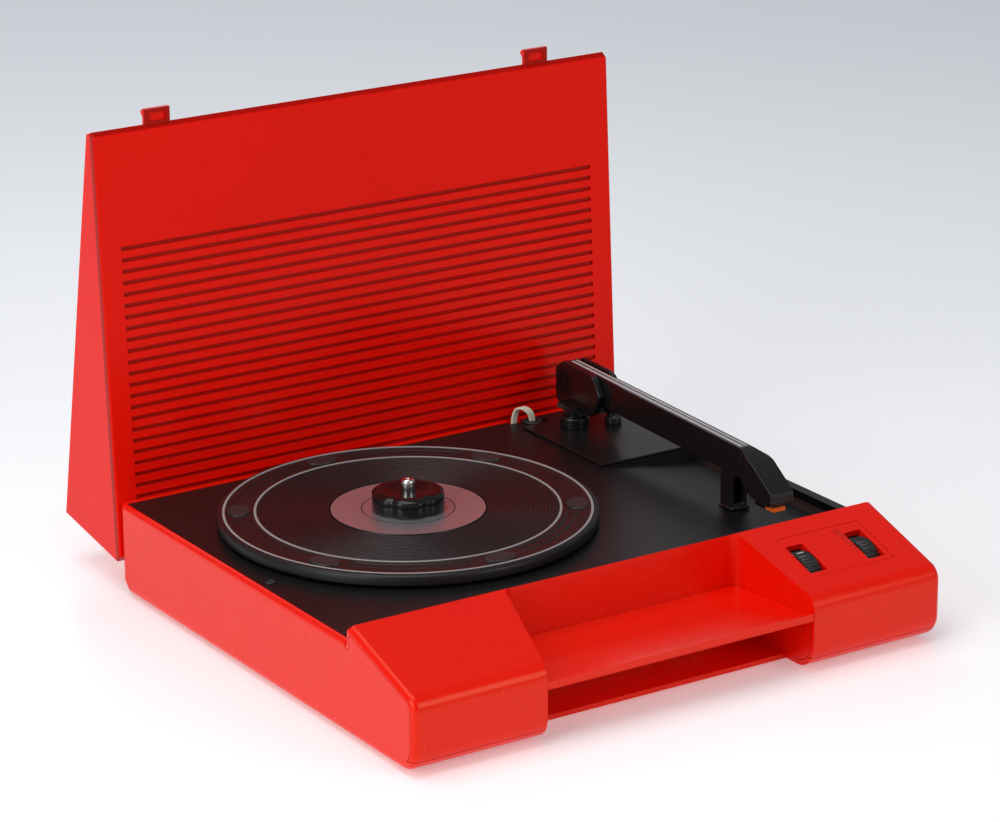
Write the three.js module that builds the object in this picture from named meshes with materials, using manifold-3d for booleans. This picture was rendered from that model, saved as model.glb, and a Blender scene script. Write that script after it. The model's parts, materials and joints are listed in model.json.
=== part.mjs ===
// Portable suitcase record player, standing open with its loudspeaker lid behind the base.
// Millimetres. X runs to the right, Y to the back, Z up from the table.
// While it is built, y = 0 is the front face; the whole group is centred on its footprint at the end.

import * as THREE from 'three';
import { mergeVertices } from 'three/addons/utils/BufferGeometryUtils.js';
import Module from 'manifold-3d';

const wasm = await Module();
wasm.setup();

// ---------------------------------------------------------------- driving dimensions

const GAP = 0.3; // air between neighbouring mouldings
const WALL = 2.6; // moulded wall thickness
const RAD = Math.PI / 180;

const BASE = { left: -156, right: 154.5, rear: 288.6, under: 2, round: 3.5 };
const BLOCK = { back: 61.7, backTop: 55.5, slope: 18 * RAD, noseRadius: 9, chinRadius: 12.5 };
const SLOPE_REF = { y: 32.2, z: 50 }; // a point on the sloping top of the front block
const DECK = { top: 49.8, thick: 2.2, left: -153, right: 152.6, front: 62, rear: 285.4 };
const TROUGH = { left: 84.5, right: 147, floorRight: 42.5, front: 64.5, rear: 195 };
const PIVOT_PLATE = { left: 82.5, right: 142, front: 196, rear: 283, top: 51.2 };

const NOTCH = { backLeft: -70, backRight: 70, frontLeft: -82, frontRight: 75, back: 58, floor: 32 };
const HAND_SLOT = { top: 28.3, back: 46, floorEdge: 22 };
const PANEL = { x: 111, y: 31, width: 51, length: 32, thick: 1.2 };
const WHEEL = { radius: 14.4, width: 8.6, depth: 13.35, ribs: 36, y: 29.2, toneX: 91.8, volumeX: 128.2 };

const PLATTER = { x: -45.6, y: 183.2, radius: 97.5, top: 57.6, bottom: 51.3, drum: 62 };
const LABEL_RADIUS = 39.6;
const RING = { inner: 77.7, outer: 94.3 };
const PAD_COUNT = 6;
const SPINDLE = { radius: 3.6, top: 72.8 };
const ADAPTER = { radius: 19, height: 10, lobes: 6, phase: 31 * RAD };
const PULLEY = { angle: 135 * RAD, reach: 77.8, radius: 6.4 };

const ARM = { x: 106.5, y: 257.2, offset: 7.5, yaw: -2.65 * RAD, top: 84, height: 16, width: 7.6 };
const ARM_AXIS = { z: 76, y: 0 };
const ARM_LENGTH = { rear: 14, front: -157, head: -190 };
const REST = { x: 109, y: 114, width: 10, top: 67.6 };

const LID = {
  left: -157, right: 157, lean: 2.9 * RAD, faceY: 290.8, top: 244.2, bottom: 16,
  rimTop: [308.7, 242.5], rimBottom: [350.8, 26.1], round: 3.5,
};
const LOUVRE = { count: 25, first: 182.7, pitch: 6, left: -145, right: 144, height: 2.2, depth: 1.2 };
const SPEAKER = { x: 58, z: 96, radius: 50 };
const LEAD = { width: 4, thick: 2, x: 85.5 };
const SOCKET = { x: LEAD.x, y: 332, z: 23 };
const TABS = [-118.5, 112.5];

// ---------------------------------------------------------------- finishes

const finish = (color, roughness, metalness = 0) => ({ color, roughness, metalness });
const RED = finish(0xd4190c, 0.28);
const LID_RED = finish(0xc81408, 0.3);
const BLACK = finish(0x17171a, 0.55);
const GLOSS_BLACK = finish(0x131316, 0.35);
const RUBBER = finish(0x1d1d1f, 0.85);
const STEEL = finish(0xa9acb0, 0.35, 1);
const CHROME = finish(0xd8dadd, 0.12, 1);
const SILVER = finish(0xb9b6bd, 0.35, 0.4);
const CREAM = finish(0xe8e2cf, 0.5);
const ORANGE = finish(0xf0701c, 0.4);
const BROWN = finish(0x6a4526, 0.8);
const GREEN = finish(0x2f5b3a, 0.6);
const COPPER = finish(0xa8642f, 0.5, 0.6);
const PAPER = finish(0x2b2a29, 0.95);

const root = new THREE.Group();
root.name = 'suitcase_record_player';

function add(name, geometry, look, parent = root) {
  const material = new THREE.MeshStandardMaterial(look);
  material.name = name;
  const mesh = new THREE.Mesh(geometry, material);
  mesh.name = name;
  parent.add(mesh);
  return mesh;
}

// ---------------------------------------------------------------- solid helpers

function toManifold(geometry) {
  const plain = geometry.clone();
  plain.deleteAttribute('normal');
  plain.deleteAttribute('uv');
  const merged = mergeVertices(plain, 1e-4);
  return new wasm.Manifold(new wasm.Mesh({
    numProp: 3,
    vertProperties: new Float32Array(merged.attributes.position.array),
    triVerts: new Uint32Array(merged.index.array),
  }));
}

function fromManifold(manifold) {
  const mesh = manifold.getMesh();
  const geometry = new THREE.BufferGeometry();
  geometry.setAttribute('position', new THREE.BufferAttribute(mesh.vertProperties, 3));
  geometry.setIndex(new THREE.BufferAttribute(mesh.triVerts, 1));
  geometry.computeVertexNormals();
  return geometry;
}

const combine = (method) => (first, ...others) => {
  let result = toManifold(first);
  for (const other of others) result = result[method](toManifold(other));
  return fromManifold(result);
};
const union = combine('add');
const cut = combine('subtract');
const common = combine('intersect');

function box(x0, x1, y0, y1, z0, z1) {
  const geometry = new THREE.BoxGeometry(x1 - x0, y1 - y0, z1 - z0);
  return geometry.translate((x0 + x1) / 2, (y0 + y1) / 2, (z0 + z1) / 2);
}

function shapeOf(points) {
  return new THREE.Shape(points.map(([u, v]) => new THREE.Vector2(u, v)));
}

// A side view (y, z) drawn out along x, with its side edges rounded by `round`.
function sideExtrusion(shape, x0, x1, round = 0) {
  const geometry = new THREE.ExtrudeGeometry(shape, {
    depth: x1 - x0 - 2 * round,
    curveSegments: 8,
    bevelEnabled: round > 0,
    bevelThickness: round,
    bevelSize: round,
    bevelOffset: -round,
    bevelSegments: 4,
  });
  const axes = new THREE.Matrix4().makeBasis(
    new THREE.Vector3(0, 1, 0), new THREE.Vector3(0, 0, 1), new THREE.Vector3(1, 0, 0));
  return geometry.translate(0, 0, round).applyMatrix4(axes).translate(x0, 0, 0);
}

// A plan view (x, y) drawn upwards from z0 to z1.
function upright(shape, z0, z1, curveSegments = 12) {
  const geometry = new THREE.ExtrudeGeometry(shape, { depth: z1 - z0, bevelEnabled: false, curveSegments });
  return geometry.translate(0, 0, z0);
}

// A profile of (radius, height) turned about the z axis; it closes on the axis or on itself.
function turned(profile, segments = 48) {
  const points = profile.map(([r, z]) => new THREE.Vector2(r, z));
  const closesOnItself = profile[0][0] > 0;
  if (closesOnItself) points.push(points[0].clone());
  return new THREE.LatheGeometry(points, segments).rotateX(Math.PI / 2);
}

const rod = (radius, z0, z1, segments = 32) =>
  turned([[0, z0], [radius, z0], [radius, z1], [0, z1]], segments);

// A rod lying along x, centred on (y, z).
const crossRod = (radius, x0, x1, y, z, segments = 32) =>
  rod(radius, x0, x1, segments).rotateY(Math.PI / 2).translate(0, y, z);

const slopeZ = (y) => SLOPE_REF.z + (y - SLOPE_REF.y) * Math.tan(BLOCK.slope);

// ---------------------------------------------------------------- base outline

// The side view of the base, drawn `inset` inside the outer surface.
function baseOutline(inset = 0) {
  const { back, backTop, slope, noseRadius, chinRadius } = BLOCK;
  const noseZ = slopeZ(noseRadius) - noseRadius / Math.cos(slope);
  const chinZ = BASE.under + chinRadius;
  const lift = inset / Math.cos(slope);
  const shape = new THREE.Shape();
  shape.moveTo(chinRadius, BASE.under + inset);
  shape.lineTo(BASE.rear - 5.5, BASE.under + inset);
  shape.lineTo(BASE.rear - inset, BASE.under + 5.5);
  shape.lineTo(BASE.rear - inset, DECK.top + 0.3 - inset);
  shape.lineTo(back - inset, DECK.top + 0.3 - inset);
  shape.lineTo(back - inset, backTop - inset * 0.9);
  shape.lineTo(back - 4.2 - inset * 0.4, slopeZ(back - 4.2 - inset * 0.4) - lift);
  shape.absarc(noseRadius, noseZ, noseRadius - inset, Math.PI / 2 + slope, Math.PI, false);
  shape.absarc(chinRadius, chinZ, chinRadius - inset, Math.PI, 1.5 * Math.PI, false);
  return shape;
}

const baseSolid = sideExtrusion(baseOutline(), BASE.left, BASE.right, BASE.round);
const baseHollow = sideExtrusion(baseOutline(WALL), BASE.left + WALL, BASE.right - WALL);
const baseShell = cut(baseSolid, baseHollow);

// The notch seen from above, `grow` larger on every side, running out through the front.
function notchPlan(grow = 0) {
  const corner = 6;
  const { backLeft, backRight, frontLeft, frontRight, back } = NOTCH;
  const shape = new THREE.Shape();
  shape.moveTo(frontLeft - grow, -6);
  shape.lineTo(frontRight + grow, -6);
  shape.lineTo(frontRight + grow, 2);
  shape.lineTo(backRight + grow, back + grow - corner);
  shape.quadraticCurveTo(backRight + grow, back + grow, backRight + grow - corner, back + grow);
  shape.lineTo(backLeft - grow + corner, back + grow);
  shape.quadraticCurveTo(backLeft - grow, back + grow, backLeft - grow, back + grow - corner);
  shape.lineTo(frontLeft - grow, 2);
  return shape;
}

// The band that wraps over the front ends a little inside the contour of each side.
const SEAM_INSET = 3.6;
const SEAM_Z = 8;
const frontZone = (gap) => box(-200, 200, -10, BLOCK.back + 20, SEAM_Z + gap, 90);
const sidePanel = (inset) => sideExtrusion(baseOutline(inset), -200, 200);

// ---------------------------------------------------------------- front cover and grip

function tilted(geometry, x, y, lift = 0) {
  return geometry.translate(0, 0, lift).rotateX(BLOCK.slope).translate(x, y, slopeZ(y));
}

function panelBox(grow, low, high) {
  const halfX = PANEL.width / 2 + grow;
  const halfY = PANEL.length / 2 + grow;
  return tilted(box(-halfX, halfX, -halfY, halfY, low, high), PANEL.x, PANEL.y);
}

function wheelPlace(x) {
  const y = WHEEL.y + Math.sin(BLOCK.slope) * WHEEL.depth;
  const z = slopeZ(WHEEL.y) - Math.cos(BLOCK.slope) * WHEEL.depth;
  return { x, y, z };
}

function wheelOpening(x) {
  const { y, z } = wheelPlace(x);
  const half = WHEEL.width / 2 + 1;
  const slot = tilted(box(-half, half, -11.3, 11.3, -8, 8), x, WHEEL.y);
  return union(slot, crossRod(WHEEL.radius + 0.7, x - half, x + half, y, z));
}

const wheelOpenings = [wheelOpening(WHEEL.toneX), wheelOpening(WHEEL.volumeX)];

function makeFrontCover() {
  const band = cut(
    common(baseShell, frontZone(GAP)),
    sidePanel(SEAM_INSET - 0.01),
  );
  const topSkin = common(baseShell, frontZone(GAP), box(BASE.left + 4, BASE.right - 4, -10, BLOCK.back + 1, 0, 90));
  const skin = union(band, topSkin);
  const liner = common(
    cut(upright(notchPlan(2.4), 29, 80), upright(notchPlan(), 20, 90)),
    sideExtrusion(baseOutline(0.6), -100, 100),
  );
  const backing = panelBox(2.5, -PANEL.thick - 3, -0.8);
  const onlyBlock = box(-200, 200, -10, BLOCK.back + 0.01, 0, 90);
  return cut(
    common(union(skin, liner, backing), onlyBlock),
    upright(notchPlan(), 20, 90),
    panelBox(GAP, -PANEL.thick - GAP, 5),
    box(NOTCH.frontLeft, NOTCH.frontRight, -10, 20, 0, HAND_SLOT.top),
    ...wheelOpenings,
  );
}
add('front_cover', makeFrontCover(), RED);

function makeHandleBar() {
  const plan = upright(notchPlan(-GAP), 28.7, NOTCH.floor + 0.6);
  const trimmed = common(plan, sideExtrusion(baseOutline(0.2), -100, 100));
  const dish = box(-120, 120, 3.2, 80, NOTCH.floor - 1.1, 60);
  const underside = box(-120, 120, 3, 54.5, 20, 29.6);
  return cut(trimmed, dish, underside);
}
add('handle_bar', makeHandleBar(), RED);

function makeControlPanel() {
  const plate = panelBox(0, -PANEL.thick, 0);
  return cut(plate, ...wheelOpenings);
}
add('control_panel', makeControlPanel(), RED);

function thumbwheel(x, potSide) {
  const half = WHEEL.width / 2;
  const shape = new THREE.Shape();
  for (let i = 0; i <= WHEEL.ribs * 4; i++) {
    const step = (i / (WHEEL.ribs * 4)) * 2 * Math.PI;
    const crest = i % 4 < 2 ? WHEEL.radius : WHEEL.radius - 0.7;
    shape[i ? 'lineTo' : 'moveTo'](crest * Math.cos(step), crest * Math.sin(step));
  }
  const disc = upright(shape, -half, half);
  const shaft = rod(2.7, half - 1, half + 5);
  if (potSide < 0) shaft.rotateY(Math.PI);
  const { y, z } = wheelPlace(x);
  return union(disc, shaft).rotateY(Math.PI / 2).translate(x, y, z);
}
add('tone_wheel', thumbwheel(WHEEL.toneX, 1), GLOSS_BLACK);
add('volume_wheel', thumbwheel(WHEEL.volumeX, -1), GLOSS_BLACK);

const BOARD_TOP = 21.6;
function potentiometer(wheelX, side) {
  const { y, z } = wheelPlace(wheelX);
  const near = wheelX + side * (WHEEL.width / 2 + 1);
  const far = near + side * 8;
  const [x0, x1] = near < far ? [near, far] : [far, near];
  const can = crossRod(6, x0, x1, y, z);
  const foot = box(x0, x1, y - 4.5, y + 4.5, BOARD_TOP + GAP, z);
  const hole = crossRod(3.1, near - 6, near + 6, y, z);
  return cut(union(can, foot), hole);
}
add('tone_pot', potentiometer(WHEEL.toneX, 1), STEEL);
add('volume_pot', potentiometer(WHEEL.volumeX, -1), STEEL);

// ---------------------------------------------------------------- tray

const FEET = [[-134, 26], [134, 26], [-134, 264], [134, 264]];
const BOARD_POSTS = [[98, 56], [140, 56], [98, 160], [140, 160]];
const DECK_POSTS = [[-147.5, 147], [-145, 74], [-145, 272], [20, 74], [60, 272], [-45.6, 275]];
const CHANNEL = { half: 4, depth: 6.2, x: LEAD.x };
const INLET = { y0: 214, y1: 236, z0: 14, z1: 28 };

const post = (x, y, top, radius = 3.6) => rod(radius, BASE.under + 1, top, 20).translate(x, y, 0);

function makeTray() {
  const clear = union(
    cut(frontZone(-0.01), sidePanel(SEAM_INSET + GAP)),
    box(BASE.left + 3.7, BASE.right - 3.7, -10, BLOCK.back + 0.3, SEAM_Z, 90),
  );
  const shell = cut(
    baseShell,
    common(clear, box(-200, 200, -10, BLOCK.back + GAP, 0, 90)),
    box(DECK.left - GAP, DECK.right + GAP, BLOCK.back - 1, DECK.rear + GAP, 44, 60),
  );
  const inside = sideExtrusion(baseOutline(WALL + GAP), -152, 150);
  const slotLeft = NOTCH.frontLeft + 0.2;
  const slotRight = NOTCH.frontRight - 0.2;
  const well = (y0, y1, z1) => union(
    box(slotLeft - 2.2, slotLeft, y0, y1, 3, z1),
    box(slotRight, slotRight + 2.2, y0, y1, 3, z1),
    box(slotLeft - 2.2, slotRight + 2.2, y1 - 2.2, y1, 3, z1),
  );
  const slotWalls = union(
    common(inside, well(3, HAND_SLOT.back + 2.2, HAND_SLOT.top)),
    well(16, HAND_SLOT.back + 2.2, 6),
  );
  const channelWall = box(
    CHANNEL.x - 5.6, CHANNEL.x + 5.6, BASE.rear - CHANNEL.depth - 2, BASE.rear - 1, 3, 45.8);
  return cut(
    union(
      shell,
      sideExtrusion(shapeOf([[10, 2.4], [24, 2.4], [24, 4.4], [10, 4.4]]), slotLeft - 2, slotRight + 2),
      slotWalls,
      channelWall,
      ...BOARD_POSTS.map(([x, y]) => post(x, y, 19.7)),
      ...DECK_POSTS.map(([x, y]) => post(x, y, DECK.top - DECK.thick - GAP)),
    ),
    box(slotLeft, slotRight, -10, HAND_SLOT.floorEdge, -5, HAND_SLOT.top),
    ...FEET.map(([x, y]) => rod(3, -1, 8, 20).translate(x, y, 0)),
    box(CHANNEL.x - CHANNEL.half, CHANNEL.x + CHANNEL.half, BASE.rear - CHANNEL.depth, BASE.rear + 5, -1, 60),
    box(140, 170, INLET.y0 - GAP, INLET.y1 + GAP, INLET.z0 - GAP, INLET.z1 + GAP),
    ...[DECK_POSTS[0], DECK_POSTS[5]].map(([x, y]) => rod(1.7, 30, 60, 16).translate(x, y, 0)),
  );
}
add('base_tray', makeTray(), RED);

FEET.forEach(([x, y], i) => {
  const profile = [[0, 0], [6.6, 0], [7.2, 1.7], [2.7, 1.7], [2.7, 4.9], [3.7, 4.9], [3, 7], [0, 7]];
  add(`foot_${i + 1}`, turned(profile, 16).translate(x, y, 0), RUBBER);
});

function makeInlet() {
  const { y0, y1, z0, z1 } = INLET;
  const mid = (z0 + z1) / 2;
  const body = box(138, BASE.right - 0.4, y0, y1, z0, z1);
  const bay = union(
    crossRod(4.2, 143, 160, y0 + 6.6, mid), crossRod(4.2, 143, 160, y1 - 6.6, mid),
    box(143, 160, y0 + 6.6, y1 - 6.6, mid - 3.4, mid + 3.4),
  );
  const pins = [y0 + 6.6, y1 - 6.6].map((y) => crossRod(1.1, 142, 151, y, mid, 16));
  return union(cut(body, bay), ...pins);
}
add('mains_inlet', makeInlet(), GLOSS_BLACK);

function lidSupport(x) {
  const tilt = (y) => LID.bottom + (y - 290.5) * 0.174;
  const profile = shapeOf([
    [BASE.rear + GAP, 5], [BASE.rear + 3, 5], [300, 8], [354, 17], [356, 19], [356, 32],
    [353.6, 32], [353.2, tilt(353) - 0.6], [BASE.rear + 4, tilt(BASE.rear + 4) - 1.1],
    [BASE.rear + GAP, 14],
  ]);
  return sideExtrusion(profile, x - 9, x + 9);
}
add('lid_support_left', lidSupport(-95), GLOSS_BLACK);
add('lid_support_right', lidSupport(35), GLOSS_BLACK);

// ---------------------------------------------------------------- deck

const pulleyX = PLATTER.x + PULLEY.reach * Math.cos(PULLEY.angle);
const pulleyY = PLATTER.y + PULLEY.reach * Math.sin(PULLEY.angle);
const underDeck = DECK.top - DECK.thick;

function makeDeck() {
  const { left, right, front, rear, top, thick } = DECK;
  const slab = box(left, right, front, rear, top - thick, top);
  const drop = TROUGH.floorRight;
  const bowlShape = (grow) => shapeOf([
    [TROUGH.left + grow, top + 9], [TROUGH.left + grow * 8, top - grow * 2.4],
    [TROUGH.right - 4, drop - grow * 2.4], [TROUGH.right, drop + 3],
    [TROUGH.right + grow * 2, drop + 3 - grow], [TROUGH.right + grow * 2, top + 9],
  ]);
  const bowl = (grow, y0, y1) => {
    const geometry = new THREE.ExtrudeGeometry(bowlShape(grow), { depth: y1 - y0, bevelEnabled: false });
    return geometry.rotateX(Math.PI / 2).translate(0, y1, 0);
  };
  const under = common(bowl(1, TROUGH.front - 2, TROUGH.rear + 2), box(-200, 200, 0, 400, 30, top));
  return cut(
    union(slab, under),
    bowl(0, TROUGH.front, TROUGH.rear),
    rod(9, 30, 60, 40).translate(PLATTER.x, PLATTER.y, 0),
    rod(11, 30, 60, 40).translate(pulleyX, pulleyY, 0),
    rod(6.6, 30, 60, 32).translate(ARM.x, ARM.y, 0),
    rod(4.6, 30, 60, 32).translate(LEAD.x + 8, 279, 0),
    box(CHANNEL.x - 4.5, CHANNEL.x + 4.5, BASE.rear - CHANNEL.depth - 0.4, 300, 30, 60),
    ...[DECK_POSTS[0], DECK_POSTS[5]].map(([x, y]) => rod(1.9, 30, 60, 16).translate(x, y, 0)),
  );
}
add('deck_plate', makeDeck(), BLACK);

function makePivotPlate() {
  const { left, right, front, rear, top } = PIVOT_PLATE;
  const plan = shapeOf([[left, front], [right, front], [right, rear], [left + 16, rear], [left, rear - 6]]);
  return cut(
    upright(plan, DECK.top + 0.2, top),
    rod(6.6, 30, 60, 32).translate(ARM.x, ARM.y, 0),
    box(LEAD.x - 10, LEAD.x + 14, 272.5, 300, 30, 60),
  );
}
add('pivot_plate', makePivotPlate(), BLACK);

function screw(x, y, z) {
  const body = union(rod(3, z, z + 1.2, 24), rod(1.4, z - 10, z + 0.2, 16));
  const cross = union(box(-2, 2, -0.4, 0.4, z + 0.5, z + 2), box(-0.4, 0.4, -2, 2, z + 0.5, z + 2));
  return cut(body, cross).translate(x, y, 0);
}
add('deck_screw_left', screw(...DECK_POSTS[0], DECK.top + 0.1), STEEL);
add('deck_screw_rear', screw(...DECK_POSTS[5], DECK.top + 0.1), STEEL);

add('trip_post', turned([
  [0, PIVOT_PLATE.top + 0.2], [4.6, PIVOT_PLATE.top + 0.2], [4.6, 55], [3.4, 56], [3.4, 59], [2.6, 60], [0, 60],
], 32).translate(127, 250, 0), GLOSS_BLACK);

// ---------------------------------------------------------------- drive under the deck

const MOTOR_R = 19;
function makeMotor() {
  const can = rod(MOTOR_R, 12, 43.5, 48);
  const collar = rod(7, 43, 46.5, 32);
  const ears = box(-26, 26, -5, 5, 43, 44.6);
  const bore = rod(1.8, 30, 50, 24);
  return cut(union(can, collar, ears), bore).translate(pulleyX, pulleyY, 0);
}
add('motor', makeMotor(), STEEL);

add('motor_pulley', turned([
  [0, 40], [1.5, 40], [1.5, 50.4], [7.6, 50.4], [7.6, 51], [PULLEY.radius, 51.4],
  [PULLEY.radius, 55.1], [4, 55.3], [0, 55.3],
], 24).translate(pulleyX, pulleyY, 0), GLOSS_BLACK);

function beltLoop(grow) {
  const drumR = PLATTER.drum + grow;
  const pulleyR = PULLEY.radius + grow;
  const side = Math.acos((drumR - pulleyR) / PULLEY.reach);
  const shape = new THREE.Shape();
  shape.absarc(0, 0, drumR, PULLEY.angle + side, PULLEY.angle - side + 2 * Math.PI, false);
  shape.absarc(pulleyX - PLATTER.x, pulleyY - PLATTER.y, pulleyR,
    PULLEY.angle - side, PULLEY.angle + side, false);
  return shape;
}
function makeBelt() {
  const loop = cut(upright(beltLoop(1.1), 51.8, 54.8, 20), upright(beltLoop(0.4), 50, 57, 20));
  return loop.translate(PLATTER.x, PLATTER.y, 0);
}
add('drive_belt', makeBelt(), RUBBER);

function makeBearing() {
  const flange = box(-22, 22, -14, 14, underDeck - 2.3, underDeck - GAP);
  const sleeve = rod(8, 30, 50.4, 32);
  return cut(union(flange, sleeve), rod(SPINDLE.radius + 0.04, 33, 60, 32)).translate(PLATTER.x, PLATTER.y, 0);
}
add('bearing_sleeve', makeBearing(), STEEL);

add('spindle', turned([
  [0, 34], [SPINDLE.radius, 34], [SPINDLE.radius, SPINDLE.top - 2.6], [SPINDLE.radius - 0.8, SPINDLE.top - 0.9],
  [SPINDLE.radius - 2, SPINDLE.top], [0, SPINDLE.top],
], 32).translate(PLATTER.x, PLATTER.y, 0), CHROME);

function makeTransformerCore() {
  const core = box(46, 84, 226, 262, 5.2, 33);
  return cut(core, box(40, 90, 232.5, 255.5, 11, 27));
}
add('transformer_core', makeTransformerCore(), STEEL);
add('transformer_coil', union(
  box(40, 90, 233, 255, 11.4, 26.6), box(84.4, 92, 229, 259, 8, 30), box(38, 45.6, 229, 259, 8, 30),
), COPPER);

function makeBoard() {
  const board = box(84, 146, 50.5, 170, 20, BOARD_TOP);
  const tongue = box(86, 132, 24, 51, 20, BOARD_TOP);
  const caps = [[100, 80], [118, 96], [104, 118], [128, 128]].map(([x, y]) => rod(5.5, 21, 32, 20).translate(x, y, 0));
  const sink = box(112, 140, 150, 154, 21, 34);
  return union(board, tongue, ...caps, sink);
}
add('amplifier_board', makeBoard(), GREEN);

// ---------------------------------------------------------------- platter

const platterGroup = new THREE.Group();
platterGroup.position.set(PLATTER.x, PLATTER.y, 0);
root.add(platterGroup);

function makePlatter() {
  const { radius, top, bottom, drum } = PLATTER;
  return turned([
    [SPINDLE.radius + 0.08, 50.8], [9, 50.8], [9, top - 2.6], [drum - 2, top - 2.6], [drum - 2, 50.9], [drum, 50.9],
    [drum, top - 1.9], [radius - 3, top - 1.9], [radius - 3, bottom], [radius - 0.8, bottom],
    [radius, bottom + 0.8], [radius, top - 1.6], [radius - 1.6, top - 0.4], [RING.outer + 0.6, top - 0.4],
    [RING.outer, top], [RING.outer - 0.8, top], [RING.outer - 1.2, top - 0.9], [RING.inner + 1.2, top - 0.9],
    [RING.inner + 0.8, top], [RING.inner, top], [RING.inner - 0.6, top - 0.5],
    [LABEL_RADIUS + 1.2, top - 0.5], [LABEL_RADIUS + 0.8, top - 0.1], [LABEL_RADIUS + 0.3, top - 0.1],
    [LABEL_RADIUS + 0.3, top - 1], [SPINDLE.radius + 0.08, top - 1],
  ], 64);
}
add('platter', makePlatter(), BLACK, platterGroup);

function makeLabel() {
  const { top } = PLATTER;
  return turned([
    [SPINDLE.radius + 0.6, top - 0.9], [LABEL_RADIUS, top - 0.9], [LABEL_RADIUS, top - 0.3],
    [SPINDLE.radius + 0.6, top - 0.3],
  ], 56);
}
add('label_disc', makeLabel(), SILVER, platterGroup);

const padRing = (RING.inner + RING.outer) / 2 + 0.2;
for (let i = 0; i < PAD_COUNT; i++) {
  const turn = (i / PAD_COUNT) * 2 * Math.PI + 30 * RAD;
  const shape = new THREE.Shape();
  shape.absellipse(0, 0, 5.8, 8.6, 0, 2 * Math.PI, false, 0);
  const pad = upright(shape, PLATTER.top - 0.85, PLATTER.top + 0.3, 8);
  pad.translate(padRing, 0, 0).rotateZ(turn);
  add(`pad_${i + 1}`, pad, RUBBER, platterGroup);
}

function makeAdapter() {
  const { radius, height, lobes, phase } = ADAPTER;
  const z0 = PLATTER.top - 0.1;
  const body = turned([
    [0, z0], [radius - 1.2, z0], [radius, z0 + 1], [radius, z0 + height - 2.6], [radius - 1, z0 + height - 1.4],
    [radius - 4, z0 + height], [8, z0 + height - 1.7], [0, z0 + height - 2.1],
  ], 40);
  const scoops = [];
  for (let i = 0; i < lobes; i++) {
    const turn = (i / lobes) * 2 * Math.PI + phase;
    const reach = radius + 4.1;
    scoops.push(rod(5.4, z0 - 1, z0 + 20, 24).translate(reach * Math.cos(turn), reach * Math.sin(turn), 0));
  }
  return cut(body, rod(SPINDLE.radius + 0.1, z0 - 2, z0 + 20, 32), ...scoops);
}
add('single_adapter', makeAdapter(), GLOSS_BLACK, platterGroup);

// ---------------------------------------------------------------- tonearm

function makeArmPost() {
  const foot = PIVOT_PLATE.top + 0.2;
  const body = turned([
    [0, 38], [6, 38], [6, foot], [7.9, foot], [7.9, foot + 5.4], [7.1, foot + 6.2], [5.2, foot + 6.2], [5.2, 60.4], [0, 60.4],
  ], 40);
  return cut(body, rod(3.1, 40, 70, 32)).translate(ARM.x, ARM.y, 0);
}
add('arm_post', makeArmPost(), GLOSS_BLACK);

function makeRestPost() {
  const { x, y, width, top } = REST;
  const half = width / 2;
  const floor = TROUGH.floorRight;
  const column = box(x - half, x + half, y - half, y + half, floor, top);
  const outerProng = box(x + half - 2, x + half, y - half, y + half, top - 2, top + 7);
  const foot = box(x - half - 1, x + half + 1, y - half - 1, y + half + 1, floor, floor + 6);
  const recess = box(x - half + 2, x + half - 2, y - 20, y + half - 2, floor + 8, top - 3);
  const under = shapeOf([
    [TROUGH.left, 20], [TROUGH.right - 4, 20], [TROUGH.right - 4, TROUGH.floorRight + GAP],
    [TROUGH.left, DECK.top + GAP],
  ]);
  const bed = new THREE.ExtrudeGeometry(under, { depth: 60, bevelEnabled: false });
  return cut(union(column, outerProng, foot), recess, bed.rotateX(Math.PI / 2).translate(0, y + 30, 0));
}
add('arm_rest_post', makeRestPost(), GLOSS_BLACK);

const arm = new THREE.Group();
arm.position.set(ARM.x, ARM.y, 0);
arm.rotation.z = ARM.yaw;
root.add(arm);

const armLeft = ARM.offset - ARM.width / 2;
const armRight = ARM.offset + ARM.width / 2;
const armBottom = ARM.top - ARM.height;

function makeYoke() {
  const side = shapeOf([
    [-27, 75], [-21, 64], [-16, 61], [17, 61], [19, 64], [19, 80], [12, 85], [-15, 85], [-20, 83.5],
  ]);
  const leftPlate = sideExtrusion(side, armLeft - 4.4, armLeft - 0.4, 0.8);
  const rightPlate = sideExtrusion(side, armRight + 0.4, armRight + 3.2, 0.8);
  const bridge = box(armLeft - 3.8, armRight + 2.8, -14, 14, 61, 64);
  const plinth = box(-6, armLeft, -8, 8, 61, 64);
  const stem = rod(3.04, 42, 62, 32);
  return cut(
    union(leftPlate, rightPlate, bridge, plinth, stem),
    crossRod(1.6, armLeft - 3.4, armRight + 2.2, ARM_AXIS.y, ARM_AXIS.z, 24),
  );
}
add('arm_yoke', makeYoke(), BLACK, arm);
add('arm_pivot_pin', crossRod(1.5, armLeft - 3.2, armRight + 2, ARM_AXIS.y, ARM_AXIS.z, 24), STEEL, arm);

function makeBeam() {
  const { rear, front } = ARM_LENGTH;
  const outer = box(armLeft, armRight, front, rear, armBottom, ARM.top);
  const channel = box(armLeft + 1.3, armRight - 1.3, front + 3, rear - 3, armBottom - 1, ARM.top - 2.4);
  const groove = box(ARM.offset - 1.9, ARM.offset + 1.9, front + 2, rear - 1, ARM.top - 0.9, ARM.top + 1);
  const rearBevel = sideExtrusion(shapeOf([[rear - 6, armBottom - 1], [rear + 1, armBottom - 1], [rear + 1, armBottom + 8]]), armLeft - 1, armRight + 1);
  const boss = crossRod(3.4, armLeft + 0.4, armRight - 0.4, ARM_AXIS.y, ARM_AXIS.z, 24);
  return cut(union(cut(outer, channel), boss), groove, rearBevel,
    crossRod(1.55, armLeft - 1, armRight + 1, ARM_AXIS.y, ARM_AXIS.z, 24));
}
add('arm_beam', makeBeam(), BLACK, arm);
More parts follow.
